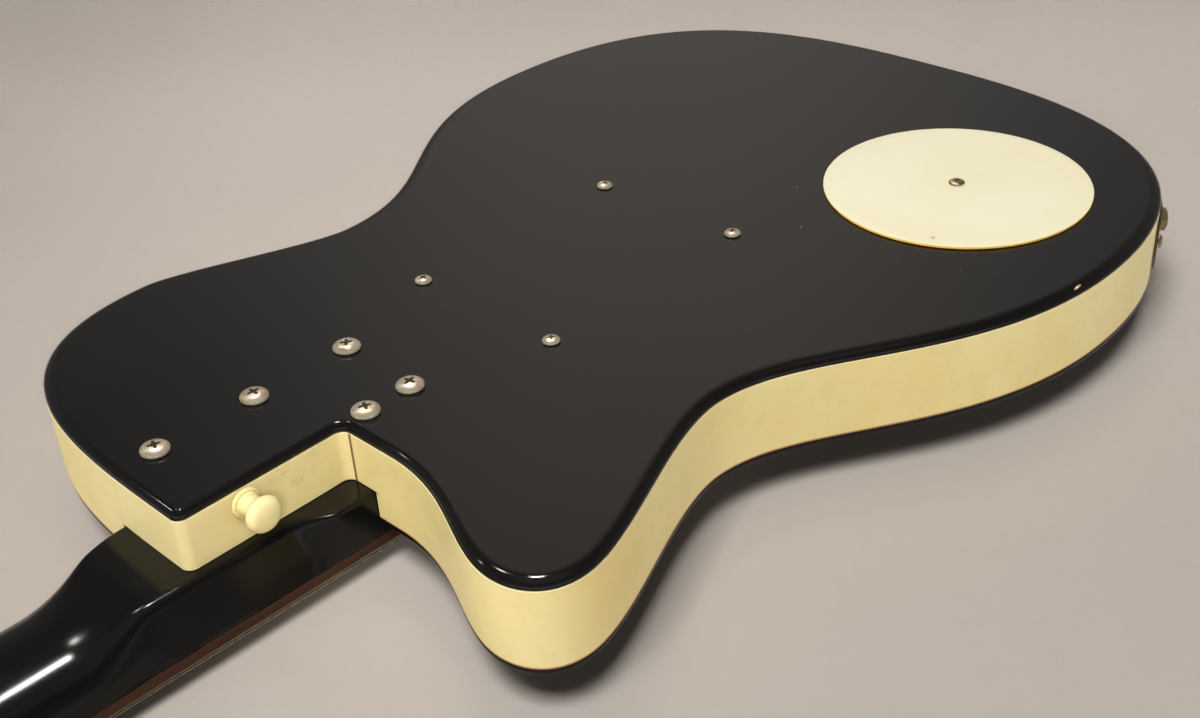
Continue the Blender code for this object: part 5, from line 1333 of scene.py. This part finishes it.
def make_bridge(metal, wood, template, grime):
    """A bent plate whose rear lip is notched for the strings, and the wooden saddle that carries them."""
    high = TOP_FACE - GAP
    low = high - BRIDGE_THICKNESS
    edge = high - BRIDGE_LIP
    inside = BRIDGE_REAR - BRIDGE_THICKNESS
    section = [(-0.0118, high), (BRIDGE_REAR, high), (BRIDGE_REAR, edge), (inside, edge), (inside, low),
               (-0.012, low), (-0.012, high), (-0.0118, high)]
    section = filleted(section, (0, 0.0022, 0.0004, 0.0004, 0.0010, 0.0004, 0.0002, 0), 7)[:-1]
    half = 0.035
    rings = [[(x, y, z) for x, z in section] for y in (-half, -half + 0.0006, half - 0.0006, half)]
    plate = solid("bridge_base", skin(rings))
    notches = []
    for number in range(1, 7):
        y = string_y(number, STRING_SPREAD_SADDLE)
        notches.append(prism([(inside - 0.01, y - 0.00105), (BRIDGE_REAR + 0.01, y - 0.00105),
                              (BRIDGE_REAR + 0.01, y + 0.00105), (inside - 0.01, y + 0.00105)],
                             edge - 0.01, edge + 0.0042))
    carve(plate, *notches, *[bore(place, SMALL_SCREW[2] + GAP) for place in BRIDGE_SCREWS])
    dress(plate, metal, stands_for=("bridge_plate",))
    place_screws(template, ["bridge_screw_1", "bridge_screw_2"], [(*place, low) for place in BRIDGE_SCREWS],
                 (0, 0, -1), (0.2, 0.9), metal, grime)
    top = -STRING_DEPTH_SADDLE + STRING_DIAMETERS[5] / 2 + GAP
    base = low - GAP
    profile = filleted([(0, base), (0.004, base), (0.004, top + 0.0028), (0.0024, top), (-0.0024, top),
                        (-0.004, top + 0.0028), (-0.004, base), (0, base)],
                       (0, 0.0003, 0.0012, 0.0008, 0.0008, 0.0012, 0.0003, 0), 6)[:-1]
    rows = []
    for y, shrink in ((-0.031, 0.86), (-0.0306, 0.97), (-0.0300, 1.0), (0.0300, 1.0), (0.0306, 0.97), (0.031, 0.86)):
        level = base + (profile[:, 1] - base) * (0.5 + 0.5 * shrink)
        rows.append(np.column_stack([profile[:, 0] * shrink, np.full(len(profile), y), level]))
    saddle = solid("saddle_bar", skin(rows))
    grooves = []
    for number in range(1, 7):
        y = string_y(number, STRING_SPREAD_SADDLE)
        level = -STRING_DEPTH_SADDLE - 0.0001
        grooves.append(swept([(-0.008, y, level), (0.008, y, level)], STRING_DIAMETERS[number - 1] / 2 + 0.0002, 12))
    carve(saddle, *grooves)
    dress(saddle, wood, stands_for=("bridge_saddle",))


def make_knobs(plastic, white):
    """Fluted knobs: radius = waist (1 - depth times a raised cosine of 18 turns), over a smooth skirt."""
    sides = 288
    angle = np.arange(sides) * 2 * math.pi / sides
    flute = (0.5 + 0.5 * np.cos(18 * angle)) ** 2
    rim = TOP_FACE - 2 * GAP
    top = TOP_FACE - KNOB_HEIGHT
    mouth = TOP_FACE - 0.005
    bottom = CORE_FRONT + GAP + 0.004
    rows = [(0.0008, top + 0.0002, 0), (0.0058, top + 0.0002, 0), (0.0064, top, 0), (0.0074, top, 0),
            (0.00795, top + 0.0003, 0.02), (0.0082, top + 0.0009, 0.05)]
    rows += [(0.0082 + 0.0013 * share, top + 0.0012 + (rim - 0.0062 - top) * share, 0.065)
             for share in np.linspace(0, 1, 8)]
    rows += [(0.0096, rim - 0.0043, 0.03), (0.0100, rim - 0.0038, 0), (0.0118, rim - 0.0018, 0),
             (0.0124, rim - 0.0009, 0), (0.0125, rim - 0.0003, 0), (0.0124, rim, 0), (0.0059, rim, 0),
             (0.0059, mouth - 0.0012, 0), (0.0030, mouth - 0.0012, 0), (0.0030, bottom - GAP, 0)]
    for number, place in enumerate(POT_PLACES, 1):
        rings = []
        for radius, level, depth in rows:
            spread = radius * (1 - depth * flute)
            rings.append(np.column_stack([place[0] + spread * np.cos(angle), place[1] + spread * np.sin(angle),
                                          np.full(sides, level)]))
        knob = solid(f"knob_{number}_grip", skin(rings))
        dress(knob, plastic, f"knob_{number}", (f"knob_{number}",), 40)
        line = eased_slab((place[0] + 0.0012, place[1] - 0.0005), (place[0] + 0.0058, place[1] + 0.0005), 0.0004,
                          top + 0.0001, top + 0.0004, 0.0001)
        dress(solid(f"knob_{number}_line", line), white, f"knob_{number}")


def make_lever(metal):
    """The selector's lever: ball, tapering stem and rounded tip, turned as one."""
    pivot = (*SWITCH_PLACE, TOP_FACE - 0.00195)
    ball = bend((0, 0), 0.0039, -68, 68, 15)
    tip = bend((0, 0.0115), 0.0030, -60, 88, 15)
    profile = np.concatenate([[(0.0014, -0.0069)], ball, [(0.00135, 0.0062), (0.00125, 0.0084)], tip])
    lever = solid("lever_stem", turned(profile, pivot, (0, 0, -1), 40))
    dress(lever, metal, "selector_lever", ("selector_lever",), 45)


# Tuners

def worm_axis(place):
    """Place of a key's axis beside its post."""
    return place[0] + GEAR_RADIUS + WORM_RADIUS + GAP


def make_tuner_plate(name, node, row, metal, template, grime):
    """A strip with eased borders, a pair of rounded lugs for each worm, and end screws."""
    middle = NUT_X - POST_FIRST - POST_PITCH + (GEAR_RADIUS + WORM_RADIUS + GAP) / 2
    low = HEAD_BACK + GAP
    high = low + 0.001
    strip = solid(name, eased_slab((middle - 0.049, row - 0.0085), (middle + 0.049, row + 0.0085), 0.003, low, high,
                                   0.0002))
    lugs = []
    shafts = []
    for x, y in POST_PLACES:
        if y != row:
            continue
        axis_x = worm_axis((x, y))
        arch = bend((axis_x, GEAR_LEVEL), 0.0031, 0, 180, 15)
        loop = np.concatenate([[(axis_x + 0.0031, low + 0.0005)], arch, [(axis_x - 0.0031, low + 0.0005)]])
        for way in (-1, 1):
            ends = sorted((row + way * 0.0048, row + way * 0.0064))
            lugs.append(skin([[(px, end, pz) for px, pz in loop] for end in ends]))
        shafts.append(turned([(0.0019, -0.02), (0.0019, 0.02)], (axis_x, row, GEAR_LEVEL), (0, 1, 0), 32))
        shafts.append(bore((x, y), POST_RADIUS + GAP))
    carve(strip, *lugs, operation="UNION")
    ends = [(middle - 0.0455, row), (middle + 0.0455, row)]
    carve(strip, *shafts, *[bore(place, SMALL_SCREW[2] + 0.0002, sides=24) for place in ends])
    dress(strip, metal, stands_for=(node,))
    place_screws(template, [f"{name}_screw_{number}" for number in (1, 2)], [(*place, high) for place in ends],
                 (0, 0, 1), (0.4, 1.2), metal, grime, stands=False)


def make_post(number, place, metal):
    """A post with a waist and a cross hole, and a gear of 12 rounded teeth with a slotted boss."""
    tip = HEAD_FACE - POST_RISE
    waist = (tip + 0.0033, -STRING_POST_DEPTH + 0.0022)
    low = GEAR_LEVEL - 0.0015
    high = GEAR_LEVEL + 0.0015
    profile = filleted([(0.0003, tip), (POST_RADIUS, tip), (POST_RADIUS, waist[0] - 0.0006), (POST_WAIST, waist[0]),
                        (POST_WAIST, waist[1] - 0.0006), (POST_RADIUS, waist[1]), (POST_RADIUS, high + 0.0006),
                        (0.0003, high + 0.0006)],
                       (0, 0.0007, 0.0004, 0.0004, 0.0004, 0.0004, 0.0004, 0), 5)
    post = solid(f"tuner_post_{number}_turned", turned(profile, (*place, 0), sides=44))
    angle = np.arange(GEAR_TEETH * 10) * 2 * math.pi / (GEAR_TEETH * 10)
    wave = np.clip(np.cos(GEAR_TEETH * angle) * 1.9, -1, 1) * 0.5 + 0.5
    rim = GEAR_RADIUS - GEAR_TOOTH * (1 - wave)
    loops = [(0.93, low), (1.0, low + 0.0003), (1.0, high - 0.0003), (0.93, high)]
    gear = skin([np.column_stack([place[0] + rim * scale * np.cos(angle), place[1] + rim * scale * np.sin(angle),
                                  np.full(len(angle), level)]) for scale, level in loops])
    carve(post, gear, operation="UNION")
    hole = turned([(0.0008, -0.006), (0.0008, 0.006)], (*place, waist[0] + 0.0016), (0, 1, 0), 20)
    slot = prism([(place[0] - 0.0026, place[1] - 0.0004), (place[0] + 0.0026, place[1] - 0.0004),
                  (place[0] + 0.0026, place[1] + 0.0004), (place[0] - 0.0026, place[1] + 0.0004)],
                 high + 0.0001, high + 0.002)
    carve(post, hole, slot)
    dress(post, metal, f"tuner_post_{number}", (f"tuner_post_{number}",))


def make_key(number, place, metal):
    """Worm, shaft, collar and oval button in one.

    The worm's radius = core + tooth times a raised cosine of (turns along it minus the angle). The button's
    half width and thickness follow a half ellipse along it.
    """
    way = math.copysign(1, place[1])
    axis_x = worm_axis(place)
    sides = 40
    angle = np.arange(sides) * 2 * math.pi / sides
    rows = [(-0.0079, 0.0011, 0.0011, 0), (-0.0076, 0.0016, 0.0016, 0), (-0.0047, 0.0016, 0.0016, 0)]
    rows += [(h, WORM_RADIUS, WORM_RADIUS, 1) for h in np.linspace(-0.0045, 0.0045, 55)]
    rows += [(0.0047, 0.0016, 0.0016, 0), (0.0240, 0.0016, 0.0016, 0), (0.0248, 0.0020, 0.0020, 0),
             (0.0252, 0.0024, 0.0024, 0), (0.0268, 0.0024, 0.0024, 0), (0.0273, 0.0021, 0.0021, 0),
             (0.0280, 0.0022, 0.0021, 0)]
    for share in (1 - np.cos(np.linspace(0.20, math.pi, 30))) / 2:
        swell = math.sqrt(max(1 - (2 * share - 1) ** 2, 0.0))
        rows.append((KEY_REACH + share * 0.016, 0.0085 * max(swell, 0.06), 0.0038 * max(swell, 0.06) ** 0.8, 0))
    rings = []
    for height, wide, thick, threaded in rows:
        factor = 1.0
        if threaded:
            groove = 0.5 + 0.5 * np.cos(2 * math.pi * height / 0.0018 - way * angle)
            factor = 1 - 0.24 * groove**1.5
        rings.append(np.column_stack([axis_x + wide * factor * np.cos(angle),
                                      np.full(sides, place[1] + way * height),
                                      GEAR_LEVEL + thick * factor * np.sin(angle)]))
    key = solid(f"tuner_key_{number}_oval", skin(rings))
    dress(key, metal, f"tuner_key_{number}", (f"tuner_key_{number}",), 40)


def make_bushings(metal):
    """Low rings round the posts on the head's front."""
    rings = []
    for place in POST_PLACES:
        profile = filleted([(POST_RADIUS + GAP, HEAD_FACE + 0.001), (0.0048, HEAD_FACE + 0.001),
                            (0.0048, HEAD_FACE - 0.0007), (POST_RADIUS + GAP, HEAD_FACE - 0.0009)],
                           (0, 0, 0.0005, 0), 6)
        rings.append(turned(profile, (*place, 0), sides=48, close=True))
    dress(solid("post_bushings", together(*rings)), metal)


def hidden_nodes(wood, wire, steel):
    """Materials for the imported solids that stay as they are, inside the body."""
    finishes = {"rim_frame": wood, "pickup_neck_coil": wire, "pickup_bridge_coil": wire, "pot_1": steel,
                "pot_2": steel, "selector_switch": steel}
    for node, finish in finishes.items():
        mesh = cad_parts[node].data
        mesh.materials.clear()
        mesh.materials.append(finish)


def make_guitar():
    """Every piece, from the body outwards."""
    black = gloss_black("neck_black", 0.13, 0.6, 1.31)
    make_back(board_black())
    make_front(gloss_black("front_black", 0.10, 1.0))
    make_band(edge_vinyl())
    make_neck(black)
    nickel = worn_metal("aged_nickel", (0.60, 0.53, 0.41), (0.40, 0.30, 0.17), 0.27, 0.7, 0.7)
    bronze = worn_metal("dark_bronze", (0.20, 0.15, 0.10), (0.09, 0.065, 0.04), 0.40, 0.8)
    olive = worn_metal("olive_brass", (0.34, 0.29, 0.17), (0.15, 0.125, 0.065), 0.30, 0.8, 0.9)
    bright = worn_metal("bright_nickel", (0.74, 0.71, 0.66), (0.55, 0.49, 0.40), 0.14, 0.35)
    brassy = worn_metal("brassy_nickel", (0.55, 0.47, 0.32), (0.26, 0.20, 0.11), 0.24, 0.8)
    chrome = worn_metal("clear_chrome", (0.80, 0.80, 0.80), (0.62, 0.60, 0.57), 0.05, 0.3)
    brass = worn_metal("ball_brass", (0.72, 0.52, 0.24), (0.40, 0.26, 0.10), 0.25)
    cream = cream_plastic()
    grime = grime_and_hole_shade()
    rosewood = dark_wood("rosewood_oiled", (0.012, 0.0050, 0.0032), (0.052, 0.020, 0.011))
    white = moulded("aged_white", (0.80, 0.77, 0.68), (0.72, 0.68, 0.56), 0.32)
    make_fingerboard(rosewood, bright, white)
    make_nut(worn_metal("satin_nut", (0.70, 0.69, 0.66), (0.50, 0.47, 0.42), 0.30))
    plain = worn_metal("plain_string", (0.72, 0.70, 0.66), (0.48, 0.43, 0.36), 0.22)
    make_strings(plain, wound_wire(), brass)
    small = screw_template(SMALL_SCREW)
    place_screws(screw_template(NECK_SCREW), [f"neck_screw_{number}" for number in range(1, 6)],
                 [(*place, 0) for place in NECK_SCREWS], (0, 0, 1), NECK_TURNS, nickel, grime)
    place_screws(screw_template(PICKUP_SCREW), [f"pickup_screw_{number}" for number in range(1, 5)],
                 [(*place, 0) for place in PICKUP_SCREWS], (0, 0, 1), PICKUP_TURNS, nickel, grime)
    place_screws(screw_template(COVER_SCREW), ["control_cover_screw"],
                 [(*COVER_PLACE, GAP + COVER_THICKNESS)], (0, 0, 1), [0.5], brassy, grime)
    make_cover(cream)
    make_strap_buttons(button_plastic())
    make_jack(olive, bronze, grime, small)
    make_guard(white, small, bright, grime)
    make_pickups(chrome)
    make_bridge(bright, rosewood, small, grime)
    knob_black = moulded("knob_black", (0.012, 0.012, 0.012), (0.022, 0.021, 0.020), 0.22)
    make_knobs(knob_black, white)
    make_lever(bright)
    make_tuner_plate("tuner_strip_bass", "tuner_plate_bass", POST_ROW, bright, small, grime)
    make_tuner_plate("tuner_strip_treble", "tuner_plate_treble", -POST_ROW, bright, small, grime)
    for number, place in zip(POST_NUMBERS, POST_PLACES):
        make_post(number, place, bright)
        make_key(number, place, bright)
    make_bushings(bright)
    copper = worn_metal("coil_copper", (0.40, 0.11, 0.05), (0.18, 0.05, 0.02), 0.35)
    zinc = worn_metal("zinc_steel", (0.52, 0.52, 0.50), (0.36, 0.34, 0.30), 0.35)
    hidden_nodes(bare_wood(), copper, zinc)


# Stage, light and camera

def make_stage():
    """A round pale floor whose colour runs into the backdrop's far away, with a painted pool of light ahead and to the
    right and a faint painted band of light across it.
    """
    rings = [turned_ring(radius) for radius in (0.02, 0.5, 2.0, 6.0, 14.0)]
    points = np.concatenate(rings)
    faces = [tuple(face) for face in quads(5, 96).tolist()] + [tuple(range(95, -1, -1))]
    mesh = bpy.data.meshes.new("floor")
    mesh.from_pydata(points.tolist(), [], faces)
    bm = bmesh.new()
    bm.from_mesh(mesh)
    bmesh.ops.recalc_face_normals(bm, faces=bm.faces)
    bm.to_mesh(mesh)
    bm.free()
    floor = bpy.data.objects.new("floor", mesh)
    bpy.context.scene.collection.objects.link(floor)
    finish = Finish("floor_paper")
    cloud = finish.noise(1.6, 3.0)
    fine = finish.noise(190.0, 3.0)
    heading = math.radians(LOOK_HEADING)
    ahead, aside = [finish.node("ShaderNodeVectorMath", {"operation": "DOT_PRODUCT"}, {0: finish.place, 1: way},
                                "Value")
                    for way in ((math.sin(heading), math.cos(heading), 0), (math.cos(heading), -math.sin(heading), 0))]
    # Painted light: the floor is paler ahead of the camera and to its right, and in a faint band across it, as if lit
    # unevenly.
    lift = ahead.span(0.0, 0.38) * aside.span(-0.24, 0.02) * 0.50 + ahead.within(0.46, 0.50, 0.12) * 0.12
    color = finish.blend(cloud.span(0.3, 0.7), (0.420, 0.374, 0.336), (0.402, 0.368, 0.341))
    bright = finish.blend(cloud.span(0.3, 0.7), (0.640, 0.572, 0.520), (0.615, 0.562, 0.524))
    color = finish.blend(lift, color, bright)
    color = finish.blend(fine.span(0.5, 0.8) * 0.10, color, (0.34, 0.30, 0.27))
    finish.paint(base_color=color, roughness=0.55 + fine * 0.1)
    mesh.materials.append(finish.material)


def turned_ring(radius, sides=96):
    """A flat circle on the floor."""
    angle = np.arange(sides) * 2 * math.pi / sides
    return np.column_stack([radius * np.cos(angle), radius * np.sin(angle), np.zeros(sides)])


def make_world():
    """Matt surfaces get soft light from low all round. A shine sees a dim room and the lit backdrop ahead.

    glow = a bell across the backdrop's heading times a rise with height, and both fade behind and above.
    The camera sees the backdrop's own pale colour past the floor.
    """
    world = bpy.data.worlds.new("studio")
    bpy.context.scene.world = world
    world.use_nodes = True
    room = Graph(world.node_tree)
    way = room.node("ShaderNodeTexCoord", {}, {}, "Generated")
    height = room.node("ShaderNodeSeparateXYZ", {}, {0: way}, "Z")
    heading = math.radians(LOOK_HEADING)
    turns = ((math.cos(heading), -math.sin(heading), 0.0), (math.sin(heading), math.cos(heading), 0.0))
    aside, ahead = [room.node("ShaderNodeVectorMath", {"operation": "DOT_PRODUCT"}, {0: way, 1: turn}, "Value")
                    for turn in turns]
    bell = aside.span(-0.38, 0.02) * aside.span(0.46, 0.06)
    glow = bell * height.span(0.05, 0.65) * height.span(0.92, 0.70) * ahead.span(0.0, 0.3)
    dim = 0.08 + height.span(0.80, 0.45) * 0.12 + height.span(0.86, 0.97) * 0.30
    behind = ahead.span(0.1, -0.3) * height.span(0.50, 0.10) * aside.within(-0.75, 0.75, 0.15)
    glints = 0.0
    for turn, rise, reach, strength in GLINTS:
        turn, rise = math.radians(turn), math.radians(rise)
        spot = (math.sin(turn) * math.cos(rise), math.cos(turn) * math.cos(rise), math.sin(rise))
        share = room.node("ShaderNodeVectorMath", {"operation": "DOT_PRODUCT"}, {0: way, 1: spot}, "Value")
        glints = glints + share.span(math.cos(math.radians(reach)), math.cos(math.radians(reach * 0.7))) * strength
    shine = room.node("ShaderNodeBackground", {}, {
        "Color": room.blend(glow, (0.95, 0.92, 0.88), (1.0, 0.87, 0.78)), "Strength": dim + glow * 0.62 + behind * 0.9 + glints})
    low = height.span(0.20, 0.0) * (LOW_LIGHT + aside * aside * SIDE_LIGHT)
    soft = room.node("ShaderNodeBackground", {}, {"Color": (1.0, 0.96, 0.88), "Strength": low})
    backdrop = room.node("ShaderNodeBackground", {}, {"Color": (0.50, 0.465, 0.43), "Strength": 1.0})
    glossy = room.node("ShaderNodeLightPath", {}, {}, "Is Glossy Ray")
    seen = room.node("ShaderNodeLightPath", {}, {}, "Is Camera Ray")
    mixed = room.node("ShaderNodeMixShader", {}, {0: glossy, 1: soft, 2: shine})
    mixed = room.node("ShaderNodeMixShader", {}, {0: seen, 1: mixed, 2: backdrop})
    world.node_tree.links.new(mixed.socket, world.node_tree.nodes["World Output"].inputs["Surface"])


def add_lamp(name, heading, height, distance, size, power, color=(1.0, 0.98, 0.95)):
    """A rectangular soft box that faces the point looked at, at a heading, a height in degrees and a distance."""
    turn = math.radians(heading)
    rise = math.radians(height)
    way = Vector((math.sin(turn) * math.cos(rise), math.cos(turn) * math.cos(rise), math.sin(rise)))
    data = bpy.data.lights.new(name, "AREA")
    data.shape = "RECTANGLE"
    data.size = size[0]
    data.size_y = size[1]
    data.energy = power
    data.color = color
    lamp = bpy.data.objects.new(name, data)
    lamp.location = Vector(LOOK_AT) + way * distance
    lamp.rotation_euler = way.to_track_quat("Z", "Y").to_euler()
    bpy.context.scene.collection.objects.link(lamp)


def make_lamps():
    """One key box over the camera's left shoulder and a narrow fill into the notch, neither seen in a shine."""
    add_lamp("key", KEY_HEADING, KEY_HEIGHT, KEY_DISTANCE, KEY_SIZE, KEY_POWER)
    data = bpy.data.lights.new("notch_fill", "SPOT")
    data.energy = 14.0
    data.spot_size = math.radians(9.5)
    data.spot_blend = 1.0
    data.shadow_soft_size = 0.05
    data.color = (1.0, 0.96, 0.88)
    fill = bpy.data.objects.new("notch_fill", data)
    turn = math.radians(218)
    rise = math.radians(30)
    way = Vector((math.sin(turn) * math.cos(rise), math.cos(turn) * math.cos(rise), math.sin(rise)))
    fill.location = Vector((*(SHIFT + (-0.233, -0.026, -0.012)),)) + way * 0.9
    fill.rotation_euler = way.to_track_quat("Z", "Y").to_euler()
    bpy.context.scene.collection.objects.link(fill)
    for lamp in ("key", "notch_fill"):
        bpy.data.objects[lamp].visible_glossy = False


def make_camera():
    """The photo's viewpoint: heading and tilt about the point looked at, then a small roll."""
    heading = math.radians(LOOK_HEADING)
    down = math.radians(LOOK_DOWN)
    ahead = Vector((math.sin(heading) * math.cos(down), math.cos(heading) * math.cos(down), -math.sin(down)))
    data = bpy.data.cameras.new("camera")
    data.lens = LENS
    data.sensor_width = SENSOR
    data.sensor_fit = "HORIZONTAL"
    data.clip_start = 0.01
    data.clip_end = 50.0
    camera = bpy.data.objects.new("camera", data)
    camera.location = Vector(LOOK_AT) - ahead * LOOK_DISTANCE
    turn = ahead.to_track_quat("-Z", "Y").to_matrix()
    level = turn.col[0].copy()
    upright = turn.col[1].copy()
    roll = math.radians(LOOK_ROLL)
    right = level * math.cos(roll) + upright * math.sin(roll)
    top = upright * math.cos(roll) - level * math.sin(roll)
    turn.col[0] = right
    turn.col[1] = top
    camera.rotation_euler = turn.to_euler()
    bpy.context.scene.collection.objects.link(camera)
    bpy.context.scene.camera = camera


make_guitar()
make_stage()
make_world()
make_lamps()
make_camera()
bpy.context.scene.view_settings.view_transform = "Standard"
